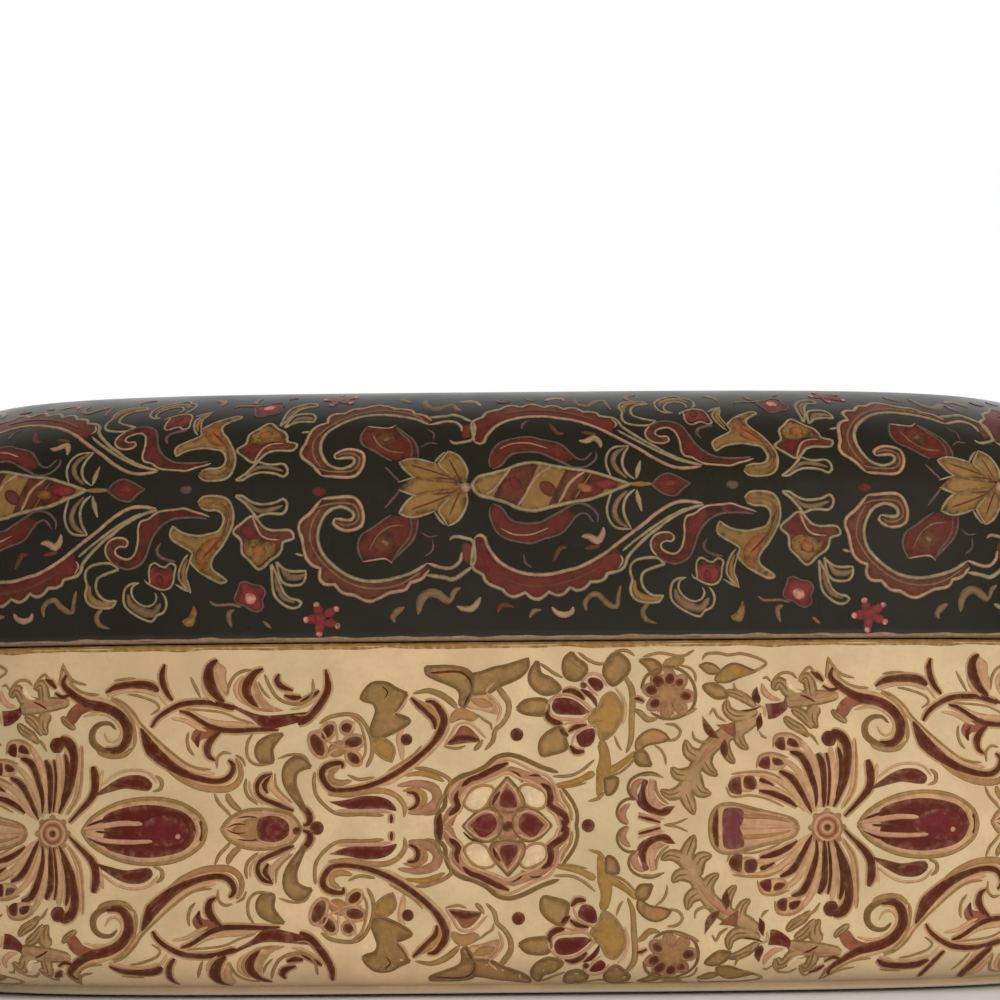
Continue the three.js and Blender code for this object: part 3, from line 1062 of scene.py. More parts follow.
def about(points, axis):
    """A closed outline from its upper edge, mirrored about an axis."""
    return [(*points[0][:2], 1)] + points[1:] + [(p[0], 2 * axis - p[1]) for p in points[:0:-1]]


def ray_petals(work):
    """The petals that stand out from the big flower's eye like rays."""
    for x, y, w in ((360, 61, 15), (404, 93, 15), (428, 122, 15)):
        work.dot("beige", x, y, w * 0.85, 1.7, -10)
    work.brushes("beige", 0.06, [(365, 75, 5), (398, 72, 9), (422, 58, 11), (444, 36, 10), (462, 14, 6)],
        [(376, 56, 7), (404, 53, 9), (429, 40, 8), (454, 18, 5)],
        [(406, 101, 6), (430, 90, 9), (450, 68, 11), (462, 42, 11), (469, 18, 6)],
        [(426, 132, 6), (448, 122, 9), (464, 98, 11), (472, 64, 11), (474, 24, 6)],
        [(492, 114, 8), (495, 89, 11), (494, 54, 10), (490, 26, 5)],
        [(504, 120, 5), (506, 90, 8), (503, 60, 7), (496, 34, 4)],
        [(-634, 128, 5), (-634, 93, 10), (-639, 50, 11), (-656, 22, 6)],
        [(-600, 89, 5), (-603, 70, 7), (-606, 56, 5)])
    work.brushes("dark", 0.11, [(384, 67, 10), (395, 63, 6), (406, 57, 2)],
        [(383, 50, 4), (406, 45, 10), (427, 35, 9), (440, 25, 3)],
        [(414, 79, 5), (433, 68, 11), (456, 28, 8), (462, 16, 3)],
        [(431, 108, 5), (447.5, 101, 11), (465, 62, 10), (469, 41, 7), (468, 24, 3)],
        [(472, 105, 8), (479, 89, 11), (481, 41, 8), (480, 24, 3)],
        [(486, 106, 4), (490, 80, 5), (489, 50, 5), (486, 26, 3)],
        [(504, 114, 5), (508, 93, 9), (506, 66, 7), (499, 40, 4)],
        [(494, 137, 12), (508, 131, 16), (517, 116, 14), (514, 70, 12), (500, 35, 7), (495, 24, 3)],
        [(-615, 95, 9), (-611, 78, 13), (-611, 60, 13), (-617, 47, 11), (-652, 10, 3)])
    work.shapes("dark", [(337, 59), (342, 47), (357, 45), (357, 56), (355, 71), (346, 69)],
        [(361, 55), (376, 52), (380, 62), (376, 71), (362, 71)],
        [(404, 99), (407, 88), (422, 89), (416, 97)],
        [(409, 116), (423, 110), (422, 130), (412, 128)],
        [(427, 118), (445, 115), (439, 126), (429, 128)],
        [(479, 126), (486, 116), (498, 117), (502, 128), (496, 138), (484, 137)], level=2)
    work.shape("maroon", [(383, 87), (399, 82), (399, 101), (390, 99)], level=2)
    work.lines("tan", 3.5, [(342, 75), (368, 78), (396, 77), (418, 68)],
        [(334, 56), (342, 42), (370, 43), (394, 38), (420, 26)],
        [(380, 84), (386, 102), (404, 106), (428, 99)],
        [(406, 114), (410, 132), (430, 135), (450, 126)],
        [(531, 126), (531, 93), (526, 52), (510, 24)])


def eye_and_long_petals(work):
    """The big flower's eye, and its long petals along the axis."""
    work.shape("dark", [(-610, 51), (-575, 76), (-554, 81.5), (-535, 79), (-523, 68), (-527, 58.5),
        (-565, 61), (-587.5, 56)], level=1)
    work.shape("maroon", [(-574, 72), (-554, 77), (-536, 74), (-528, 65), (-566, 65)], level=2)
    work.line("beige", [(-602, 66), (-576, 84), (-552, 89), (-528, 84), (-516, 70)], 4)
    work.brush("olive", [(-518, 80, 4), (-509, 72, 7), (-510, 61, 6), (-522, 56, 3)])
    right = [(-631, -3), (-617, 16), (-575, 39), (-523, 46), (-479, 38), (-448, 16), (-442, -3)]
    work.shape("beige", about(right, -3), "olive", 6, both=False)
    work.shape("maroon", about([(-596, -3), (-598, 18), (-544, 36), (-481, 28), (-463, 15),
        (-456, -3)], -3), both=False, level=1)
    work.shape("red", about([(-550, -3), (-530, 14), (-500, 20), (-476, 12), (-468, -3)], -3),
        both=False, level=2)
    work.brushes("pink", 0.14, [(-630, 1, 4), (-600, 5, 9), (-570, 9, 9), (-538, 8, 7)],
        [(-626, -9, 4), (-600, -16, 8), (-560, -19, 8), (-523, -18, 6)], both=False)
    work.brushes("dark", 0.12, [(-622, 6, 3), (-600, 13, 5), (-572, 17, 5)],
        [(-610, -3, 3), (-580, -5, 6), (-556, -4, 3)],
        [(-622, -12, 3), (-600, -22, 5), (-572, -27, 4)],
        [(-450, 12, 4), (-449, -3, 6), (-450, -18, 4)], both=False)
    work.brush("beige", [(-460, 16, 4), (-453, 4, 7), (-453, -10, 7), (-460, -22, 4)], both=False, lift=0.13)
    work.dot("pink", -484, -11, 4, both=False, level=4)
    left = [(442, -6), (436, 5), (390, 19), (336, 31), (320, 26), (311, 12), (309, -6)]
    work.shape("beige", about(left, -6), "olive", both=False)
    work.shape("plum", about([(354, -6), (360, 10), (359, 21), (331, 23), (328, -6)], -6),
        both=False, level=1)
    work.shape("dark", about([(322, -6), (321, 23), (315, 14), (312, -6)], -6), both=False, level=1)
    work.brushes("tan", 0.12, [(358, 12, 9), (386, 11, 7), (410, 8, 5), (430, 3, 3)],
        [(358, -19, 9), (386, -18, 7), (410, -15, 5), (430, -10, 3)], both=False)
    work.brushes("pink", 0.13, [(354, -4, 8), (384, -4, 8), (416, -4, 5), (440, -5, 3)],
        [(358, 21, 3), (390, 16, 4), (426, 9, 3)], both=False)
    work.dot("blush", 485, -6, 24, both=False, level=1)
    for degrees in range(0, 360, 45):
        turn = math.radians(degrees)
        work.dot("tan", 485 + 22 * math.cos(turn), 22 * math.sin(turn) - 6, 5.5, 1.3, degrees, False)
    ring(work, "beige", 485, -6, 19, 3.5)
    ring(work, "clay", 485, -6, 13.5, 4.5)
    ring(work, "beige", 485, -6, 8, 3)
    work.dot("dark", 485, -6, 5, both=False, level=3)


def hooked_scroll(work):
    """The scroll over the big flower, curling in on itself like a hook."""
    work.brushes("dark", BRUSH_LIFT, [(-660, 237, 3), (-666, 220, 9), (-633, 193, 14), (-617, 187, 16),
        (-600, 184, 16), (-583, 177, 16), (-569, 165, 16), (-562, 149, 16), (-563.5, 132.5, 15),
        (-572, 121, 13), (-583, 118, 11), (-596, 121, 5)],
        [(-598, 205, 4), (-583, 214, 10), (-544, 217.5, 13), (-527, 214, 13), (-516, 207, 8)])
    work.brush("maroon", [(-630, 191, 4), (-614, 187, 9), (-596, 183, 10), (-580, 175, 5)], lift=0.12)
    work.brush("beige", [(-659, 226, 3), (-648, 212, 6), (-628, 200, 7), (-608, 196, 7),
        (-586, 189, 6), (-566, 176, 6), (-554, 158, 5)], lift=0.07)
    work.line("olive", [(-660, 239), (-653, 220), (-640, 209), (-624, 204), (-608, 203)], 4.5)
    work.line("beige", [(-632, 170), (-614, 174), (-596, 172), (-580, 162), (-572, 149), (-575, 136),
        (-584, 131), (-593, 135), (-598, 145)], 4)
    work.brush("moss", [(-586, 117, 7), (-602, 120, 10), (-616, 132, 11), (-616, 148, 10),
        (-606, 158, 8), (-590, 159, 6), (-580, 150, 4)])
    work.brush("olive", [(-612, 130, 4), (-604, 116, 9), (-585, 110, 9), (-566, 112, 8),
        (-554, 122, 5)], lift=0.07)
    work.line("tan", [(-553, 120), (-550, 138), (-559, 170), (-575, 187), (-590, 196)], 5)
    work.shape("clay", [(-660, 162), (-656, 178), (-644, 189), (-626, 193), (-608, 186, 1),
        (-620, 179), (-634, 173), (-646, 159)])
    work.lines("olive", 4, [(-586, 224), (-570, 226), (-552, 227)],
        [(-564, 203), (-550, 201), (-519, 189), (-515, 181), (-527, 172)])
    work.line("beige", [(-596, 200), (-575, 206.5), (-554, 209), (-533, 206), (-518, 200)])


def plume(work):
    """The brush strokes that fan up to the rim from a bowl."""
    work.brushes("dark", BRUSH_LIFT, [(-508, 248, 4), (-512, 233, 9), (-509, 216, 10), (-502, 202, 8),
        (-494, 193, 5)],
        [(-428, 254, 6), (-439, 243, 13), (-441, 227, 18), (-436, 212, 17), (-427, 199, 12), (-416, 190, 6)],
        [(-526, 152, 5), (-517, 166, 7), (-483, 186, 9), (-439, 189, 8), (-400, 180, 9)],
        [(-304, 155, 7), (-289, 164, 11), (-265, 195, 12), (-260, 212, 11), (-264, 238, 4)],
        [(-358, 240, 4), (-372, 232, 11), (-381, 218, 15), (-383, 205, 15), (-377, 193, 12), (-365, 180, 6)],
         [(-334, 232, 3), (-337, 222, 10), (-331, 213, 10), (-312, 206, 3)],
        [(-326, 199, 3), (-312, 195, 9), (-300, 196, 5)],
        [(-302, 189, 3), (-292, 193, 7), (-280, 200, 7), (-273, 206, 4)],
        [(-484, 177, 4), (-470, 173, 7), (-425, 149, 9), (-356, 148, 7), (-333, 147, 3)])
    work.lines("beige", 5, [(-518, 204), (-509, 194), (-504, 186)],
        [(-316, 178), (-300, 181), (-284, 189), (-273, 196)])
    work.lines("olive", 5, [(-468, 228), (-460, 212), (-452, 197)],
        [(-376, 238), (-386, 237), (-399, 231), (-408, 218), (-411, 203)],
        [(-356, 231), (-347.5, 212), (-335, 195), (-314, 186), (-293, 189), (-283, 201), (-283, 223)])
    work.shapes("beige", [(-429, 252, 1), (-430, 234), (-424, 214), (-412, 198), (-408, 208), (-414, 224),
        (-414, 240)], [(-370, 224), (-360, 202), (-346, 185), (-326, 176), (-354, 177), (-372, 206)])
    work.line("beige", [(-451, 216), (-443, 200), (-429, 189)], 4)
    work.shape("maroon", between([(-404, 186), (-366, 171), (-347.5, 169), (-289, 174)],
        [(-404, 181), (-377, 166), (-358, 151), (-345, 149), (-306, 157.5), (-293, 162)]), level=1)
    work.line("tan", [(-310, 169), (-294, 169), (-282, 180)], 3)
    work.brushes("beige", 0.07, [(-389, 229, 4), (-398, 214, 10), (-394, 198, 10), (-362, 176, 4)],
        [(-496, 166, 4), (-474, 162, 7), (-456, 152, 7), (-442, 146, 4)],
        [(-470, 179, 4), (-446, 164, 8), (-424, 158, 9), (-396, 156, 9), (-368, 154, 4)])
    work.line("tan", [(-384, 228), (-392, 218), (-393, 202), (-382, 188), (-364, 179), (-342, 175)], 4)
    work.line("olive", [(-365, 220), (-358, 206), (-346, 194)], 4)
    work.line("tan", [(-474, 180), (-418, 174), (-394, 164), (-370, 157)], 3.5)


def lower_stem(work):
    """The thick stem that runs down to the tulip and hooks round."""
    work.line("olive", [(-589, 199), (-570, 190), (-553, 174), (-542, 158), (-470, 97), (-450, 90),
        (-434, 89)], 4)
    work.brush("beige", [(-570, 184, 4), (-552, 166, 7), (-539, 150, 8), (-476, 95, 7),
        (-452, 85, 7), (-428, 82, 5)], lift=0.07)
    work.brushes("dark", BRUSH_LIFT, [(-542, 152, 4), (-534, 137, 15), (-524, 120, 23), (-493, 93, 15),
        (-458, 77, 10), (-425, 71, 9), (-410, 75, 9), (-402, 85, 9), (-401, 95, 8), (-409, 103, 4)],
        [(-420, 145, 4), (-432, 136, 10), (-440, 123, 13), (-438, 109, 9), (-428, 102, 3)])
    work.brushes("maroon", 0.12, [(-530, 126, 4), (-524, 116, 11), (-512, 106, 9), (-494, 90, 5)],
        [(-450, 144, 4), (-456, 132, 8), (-454, 122, 4)])
    work.brush("tan", [(-500, 88, 4), (-480, 75, 9), (-447, 61, 10), (-408, 60, 11), (-394, 69, 10),
        (-389, 82.5, 9), (-392, 97, 7), (-398, 105, 4)], lift=0.06)
    work.lines("olive", 4.5, [(-404, 112), (-416, 114), (-425, 105), (-425, 90)],
        [(-398, 110), (-387, 103), (-383, 93)])
    work.lines("olive", 5, [(-429, 53), (-422.5, 39), (-410, 26), (-404, 18)],
        [(-469, 145), (-471, 135), (-468, 120), (-460, 110)])
    work.brush("olive", [(-410, 53, 7), (-407, 44, 10), (-399, 34, 10), (-389, 27, 6)])
    work.shape("clay", [(-423, 146, 1), (-442, 152), (-459, 149), (-465, 136), (-457, 125, 1),
        (-448, 134), (-436, 136)])


def body_tulip(work):
    """The tulip on the axis, with its sepals and the two leaves over it."""
    cup = [(-419, -1), (-408, 14), (-377, 28), (-314, 20), (-299, -1)]
    work.shape("beige", about(cup, -1), "olive", 4.5, both=False)
    work.shape("tan", about([(-404, -1), (-390, 10), (-370, 17), (-356, 15), (-358, -1)], -1),
        both=False, level=1)
    work.shape("maroon", about([(-366, -1), (-362, 14), (-346, 19), (-330, 16), (-319, 8),
        (-317, -1)], -1), both=False, level=2)
    work.shape("red", about([(-354, -1), (-348, 10), (-334, 11), (-324, -1)], -1), both=False, level=3)
    work.line("pink", [(-366, 16), (-348, 22), (-326, 20), (-312, 10)], 3.5)
    work.lines("dark", 2.5, [(-410, 2), (-396, 7), (-382, 6)],
        [(-394, 16), (-376, 18), (-364, 16)])
    work.brushes("dark", BRUSH_LIFT, [(-342, 82, 3), (-358, 76, 7), (-365, 64, 7), (-362, 50, 6),
        (-331, 34, 8), (-310, 26, 4)], [(-344, 79, 3), (-354, 65, 9), (-349, 52, 4)],
        [(-300, 33, 5), (-291, 25, 10), (-286, 15, 11), (-289, 6, 7), (-297, 4, 4)])
    work.brush("beige", [(-345, 79, 4), (-343, 62, 10), (-332, 49, 9), (-316, 37, 4)], lift=0.07)
    work.line("tan", [(-338, 82), (-337, 66), (-328, 52), (-312, 38)], 3.5)
    work.line("olive", [(-381, 75), (-383, 62), (-379, 49), (-364, 36)], 5)
    work.line("beige", [(-376, 72), (-376, 60), (-370, 48), (-356, 36)], 4)
    work.shapes("olive", [(-285, 91, 1), (-293, 102), (-308, 106), (-321, 97), (-326, 82.5), (-322, 62),
        (-294, 27), (-308, 66), (-306, 82), (-295, 89)],
        [(-327, 141, 1), (-347, 138), (-364, 127), (-367, 112), (-359, 99), (-342, 99), (-343, 118),
         (-335, 131)], edge="moss")
    work.line("olive", [(-286, 96), (-296, 108), (-314, 110), (-334, 104)], 4)
    work.line("olive", [(-372, 142), (-380, 128), (-379, 106), (-368, 96), (-346, 96)], 4.5)
    work.dot("dark", -306, -4, 6, both=False, level=4)
    work.dot("dark", -276, 0, 10.5, both=False)


def double_curve(work):
    """The dark curve that coils round at one end, with a spindle and a fleshy leaf under it."""
    work.brushes("tan", 0.06, [(-242, 90, 6), (-254, 82, 10), (-254, 72, 10), (-242, 67, 10), (-224, 70, 6)],
        [(-124, 189, 4), (-109, 178, 9), (-98, 166, 7), (-95, 150, 4)])
    work.brushes("dark", BRUSH_LIFT, [(-238, 88, 3), (-238, 96, 7), (-262, 92, 10), (-268.5, 80, 10),
        (-256, 59, 9), (-239, 56, 7), (-199, 62, 8), (-157.5, 81, 9), (-105, 122, 9), (-87, 152, 12),
        (-87, 166, 12), (-102, 186, 8), (-114, 188, 3)],
        [(-136, 194, 3), (-124, 182.5, 8), (-111, 170, 7), (-101, 160, 9), (-99, 146, 4)],
        [(-142, 52, 3), (-130, 50, 7), (-125, 40, 8), (-130, 30, 6), (-140, 26, 3)],
        [(-165, 20, 3), (-165, 12, 6), (-165, 6, 3)])
    work.line("beige", [(-78, 155), (-86, 135), (-116, 103), (-157.5, 72), (-176, 63)])
    work.line("olive", [(-190, 75), (-214, 72), (-230, 79)], 5)
    work.line("tan", [(-170, 84), (-150, 96), (-132, 108), (-119, 122)], 3.5)
    work.brush("tan", [(-260, 50, 4), (-230, 49, 9), (-200, 54, 9), (-174, 54, 9), (-156, 46, 8),
        (-145, 30, 8), (-146, 15, 4)], lift=0.07)
    work.shape("maroon", [(-258, 39, 1), (-231, 42), (-210, 47), (-182, 46), (-166, 39), (-157, 25),
        (-178, 28), (-231, 29)], level=1)
    work.brush("pink", [(-246, 26, 3), (-220, 25, 7), (-186, 25, 7), (-164, 22, 3)], lift=0.07)
    work.line("olive", [(-279, 84), (-280, 66), (-276, 48), (-252, 24), (-235, 19.5), (-208, 20), (-176, 18)])
    work.brush("blush", [(-156, 62, 5), (-125, 65, 12), (-100, 56, 16), (-97, 39, 16),
        (-116, 25, 14), (-140, 21, 5)], lift=0.06)
    work.brush("tan", [(-148, 54, 3), (-130, 56, 8), (-116, 48, 9), (-116, 37, 8), (-126, 30, 3)], lift=0.08)
    work.brush("ochre", [(-146, 77, 4), (-120, 80, 9), (-100, 75, 9), (-86, 68, 5)], lift=0.06)
    work.line("olive", [(-130, 88), (-110, 86), (-77, 69), (-81, 53), (-93, 37), (-99, 23), (-116, 18)], 6)


def berry_flower(work):
    """The small flower of five spotted petals."""
    for x, y, radius, wide, turn in ((-275, 124, 9, 1.95, -65), (-260, 144, 8, 1.6, 55),
            (-231, 149.5, 7.5, 1.15, 0), (-221, 128, 8, 1.65, 10), (-221, 104, 7, 1.6, -42)):
        work.dot("beige", x, y, radius + 5, wide * 0.85, turn, level=-1)
        work.dot("dark", x, y, radius, wide, turn, level=1)
    work.dot("tan", -245, 118, 12, 1.3, 30, level=-1)
    work.lines("pink", 3.5, [(-286, 142), (-270, 146), (-258, 129), (-244, 123)],
        [(-250, 160), (-246, 142), (-245, 126)], [(-219, 160), (-226, 142), (-242, 126)],
        [(-210, 116), (-226, 116), (-240, 119)], [(-262, 104), (-254, 114), (-245, 118)])
    work.line("olive", [(-272, 156), (-256, 166), (-216, 167), (-195, 135), (-194, 107.5), (-202, 90)], 6)
    work.line("tan", [(-228, 169), (-212, 156), (-203, 114), (-210, 98)], 4)


def olive_leaf(work):
    """The curled olive leaf beside the small flower."""
    work.shape("olive", [(-210, 193), (-195, 215), (-172, 216), (-157.5, 207.5), (-141, 200, 1), (-149, 184),
        (-159, 170, 1), (-137, 159), (-184, 134), (-196, 139), (-187, 176), (-192, 186), (-201, 189)], "moss")
    work.shape("ochre", [(-195, 132, 1), (-182, 134), (-168, 128), (-160, 116), (-164, 98, 1),
        (-178, 104), (-190, 116)], "olive", 4)
    work.line("pink", [(-141, 195), (-149, 180), (-162, 168)], 5)
    work.line("dark", [(-179, 212), (-170, 202), (-175, 193)], 2.5)
    work.brush("beige", [(-146, 152, 4), (-153, 136, 10), (-150, 118, 11), (-148, 100, 5)], lift=0.06)
    work.dot("dark", -142, 131, 9)


def lily(work):
    """The lily that opens towards the rim."""
    work.shapes("olive", [(-113, 240, 1), (-74, 240), (-52, 235), (-43, 226), (-47, 193), (-55, 179, 1),
        (-62, 183), (-61, 193), (-64, 205), (-112, 230)],
        [(-44, 228, 1), (-28, 231), (-12, 237), (9, 241), (41, 251, 1), (41, 239), (30, 225), (-2, 210),
         (-18, 201), (-42, 198, 1)], edge="moss")
    work.brushes("olive", BRUSH_LIFT, [(-10, 214, 6), (2, 199, 10), (11, 184, 9), (10, 168, 8), (1, 153, 7),
        (-9, 144, 7), (-13, 128, 7), (-25, 114, 4)],
        [(-28, 130, 4), (-34, 121, 8), (-41, 114, 6)],
        [(-132, 200, 4), (-109, 204, 8), (-91, 198, 10), (-75, 187, 10), (-66, 177, 6)])
    work.shape("beige", [(-49, 193), (-24, 197), (-9, 184), (-5, 168), (-32.5, 174), (-52, 179)])
    work.shape("tan", [(-46, 190), (-26, 192), (-12, 180), (-32, 178)], level=1)
    work.line("dark", [(-106, 231), (-57.5, 230), (-43, 210), (-56, 180)], 4)
    work.line("beige", [(-10, 216), (-22, 202), (-10, 190), (-1, 175), (-7, 156)], 4.5)
    work.lines("olive", 4, [(-36, 168), (-25, 159), (-16, 153), (-14, 144)],
        [(-86, 120), (-66, 117), (-54, 121)])
    work.shape("tan", [(-76, 155), (-60, 160), (-42, 157), (-34, 165), (-62, 178), (-76, 168)])
    work.shape("clay", [(-60, 151), (-49, 149), (-32, 128), (-47, 126), (-82, 123), (-70, 137)])
    work.brush("dark", [(-79, 125, 3), (-64, 132, 11), (-46, 132, 9), (-34, 130, 3)], lift=0.1)
    work.line("pink", [(-86, 119), (-76, 136), (-65, 153), (-47, 154), (-23, 132)], 4)
    work.dot("dark", 23, 137, 10)


def rosette(work):
    """The rosette of four petals and four pale cells in a lobed ring."""
    work.brushes("blush", 0.05, [(8, 85, 13), (-16, 78, 15), (-36, 69, 15), (-56, 60, 16), (-69, 46, 16),
        (-67, 31, 17), (-76, 19, 18), (-83, 0, 18)],
        [(8, 85, 13), (28, 78, 15), (63, 62, 16), (75, 46, 16), (77, 30, 16), (88, 18, 17), (93, 0, 17)])
    work.line("beige", [(-86, 4), (-75, 16), (-62, 26), (-61, 43), (-52, 56), (-12, 72),
        (8, 80), (26, 72), (44, 66), (60, 56), (68, 44), (69, 29), (80, 14), (85, 0)], 5)
    work.line("pink", [(-76, 34), (-78, 50), (-69, 64), (-24, 84), (-6, 97), (9, 100), (48, 82),
        (68, 74), (80, 58), (84, 42), (96, 26)], 4)
    work.line("moss", [(-99, -4), (-96, 18), (-86, 30), (-84, 48), (-76, 64), (-61, 75), (-44, 80),
        (-24, 90), (-10, 102), (7, 107), (24, 104), (62, 87), (84, 80)], 7)
    work.line("moss", [(88, 60), (108, 30), (112, 12), (109, -6)])
    work.line("tan", [(86, 54), (92, 40), (101, 26), (104, 8)], 4.5)
    work.brushes("dark", 0.13, [(10, 95, 3), (-4, 89, 9), (-20, 82, 11), (-34, 75, 10), (-48, 70, 9),
        (-59, 60, 5)],
        [(-65, 54, 4), (-69, 42, 8), (-65, 31, 11), (-72, 23, 11), (-79, 17, 5)],
        [(-92, 20, 4), (-94, 9, 11), (-93, -4, 11)],
        [(58, 63, 4), (68, 57, 10), (72, 43, 11), (71, 31, 11), (93, 15, 11), (95, 6, 10), (88, -9, 4)])
    work.brushes("dark", BRUSH_LIFT, [(14, 83, 2), (25, 77, 4), (32, 66, 2)],
        [(40, 75, 2), (50, 76, 4), (58, 74, 2)])
    work.shapes("cream",
        [(-56, 32), (-50, 49), (-37, 59), (-22, 61), (-12, 56), (-17, 44), (-25, 30), (-40, 23)],
        [(26, 55), (34, 62), (62, 51), (66, 38), (61, 28), (49, 26), (35, 33)], edge="tan",
        width=4.5, level=1)
    work.dot("blush", 8, 0, 23, both=False)
    work.shape("blush", [(8, 74, 1), (-18, 40), (-15, 25), (31, 25), (33, 38), (24, 56)], "moss",
        3.5, level=2)
    work.line("beige", [(-11, 32), (-5, 49), (7, 67, 1), (20, 52), (27, 34)], 4.5)
    work.shape("maroon", [(7, 60, 1), (-2, 45), (-3, 31), (22, 29), (19, 45)], level=4)
    work.brush("dark", [(-14, 32, 3), (-10, 42, 7), (-3, 52, 3)], lift=0.2)
    for side, more, ink in ((-1, 1, "red"), (1, 0, "maroon")):
        rim, trail, petal = ([(8 + side * s, y, *corner) for s, y, *corner in points] for points in (
            [(66 + more, 1, 1), (42, 24), (20, 28), (8, 12), (10, -8), (26, -22), (46, -19)],
            [(14, 16), (32, 23), (61 + more, 1), (34, -19), (16, -12)],
            [(55 + more, 2, 1), (40, 16), (24, 19), (16, 6), (20, -6), (38, -16)]))
        work.shape("blush", rim, "moss", 3.5, both=False, level=2)
        work.line("beige", trail, 4, both=False)
        work.shape(ink, petal, both=False, level=4)
    work.line("dark", [(-58, -8), (-46, -19), (-30, -24)], 3.5, both=False)
    work.lines("tan", 3.5, [(-14, 16), (-4, 22), (2, 14)], [(30, 17), (20, 22), (15, 14)])
    work.dot("dark", 8, 0, 8, 1.05, 60, both=False, level=3)
    work.dot("dark", 128, 0, 10, both=False)


def body_lotus(work):
    """The lotus lying on its side: maroon petals out of an ochre calyx, in a ring of sepals."""
    work.shapes("olive", [(24, 176, 1), (35, 187), (68, 187), (69, 168), (47, 167), (32.5, 170)],
        [(55, 247, 1), (45, 232.5), (43, 218), (51, 205), (68, 197), (89, 205), (76, 220), (60, 228)],
        [(107.5, 260, 1), (97, 251), (94, 235), (99, 222), (114, 218), (128, 228), (128, 240), (114, 251)],
        [(155, 228), (162, 249), (174, 258), (191, 247), (193, 232.5), (185, 222), (168, 210)],
        [(90, 147), (69, 139), (57.5, 124), (60, 106), (74, 107.5), (97, 116), (96, 128)], edge="moss",
        width=5.5)
    work.lines("olive", 5, [(57, 244), (66, 239), (78, 230), (93, 222)],
        [(117, 260), (132.5, 248), (149, 242), (160, 244)], [(103, 250), (109, 246), (124, 234)],
        [(172, 261), (190, 262), (202, 254)])
    work.brush("olive", [(184, 226, 6), (196, 204, 10), (195, 156, 9), (193, 126, 8), (186, 108, 4)])
    work.shape("ochre", [(166, 199), (153, 192), (146, 178), (131, 168, 1), (132, 156),
        (144, 144), (149, 128), (164, 135), (182, 166), (178, 186)], "olive", 4, level=1)
    work.line("beige", [(172, 206), (182, 192), (186, 172), (182, 152)], 5)
    work.lines("olive", 3.5, [(133, 156), (144, 157), (152, 156)],
        [(82, 57), (104, 59), (126, 64)])
    petal = [(80, 189), (93, 192), (110, 188), (132, 171, 1), (124, 166), (103, 166), (82.5, 168), (76, 176)]
    work.shape("maroon", petal, level=2)
    work.line("pink", [(68, 172), (71, 184), (85, 195), (103, 196), (122, 186), (136, 173, 1),
        (124, 159), (102, 159), (80, 162)], 5, closed=True)
    work.brushes("dark", 0.12, [(69, 174, 4), (70, 163, 10), (81, 155, 10), (92, 153, 4)],
        [(92, 200, 3), (103, 202, 9), (114, 198, 10), (125, 188, 5)],
        [(102, 120, 4), (110, 111, 9), (124, 111, 5)],
        [(87, 145, 5), (93, 139, 9), (100, 134, 4)],
        [(100, 140, 4), (110, 147, 8), (128, 151, 3)])
    work.shapes("maroon", [(137, 222), (130, 218), (145, 200), (154, 207.5), (151, 217)],
        [(112, 135), (138, 145), (139, 128), (130, 118), (118, 118)], level=2)
    work.line("pink", [(120, 212), (128, 224), (141, 228), (153, 221), (159, 208)], 4.5)
    work.line("pink", [(129, 212), (136, 202), (146, 194)], 3.5)
    work.brush("maroon", [(120, 204, 3), (130, 198, 8), (140, 187, 7), (143, 178, 3)], lift=0.12)
    work.dot("dark", 124, 210, 5, level=3)
    work.line("pink", [(105, 122), (110, 135), (139, 150), (143, 136)], 4)
    work.line("pink", [(88, 150), (102, 154), (124, 156)], 3)
    work.brushes("ochre", BRUSH_LIFT,
        [(149, 126, 14), (154, 103, 16), (152, 82, 22), (147, 60, 14), (143, 44, 5)],
        [(80, 61, 5), (99, 63, 9), (118, 69, 9), (138, 79, 12)],
        [(152, 50, 5), (144, 41, 6), (128, 36, 3)],
        [(153, 80, 12), (170, 86, 11), (187, 98, 9), (199, 110, 6)])
    work.line("olive", [(76, 74), (103, 75), (120, 83), (138, 98)], 4.5)
    work.lines("olive", 4, [(160, 74), (176, 79), (190, 90), (200, 102)],
        [(169, 134), (174, 120), (179, 112)])
    work.shape("olive", [(153, 70, 1), (172, 70), (168, 52), (157, 46)], "moss")


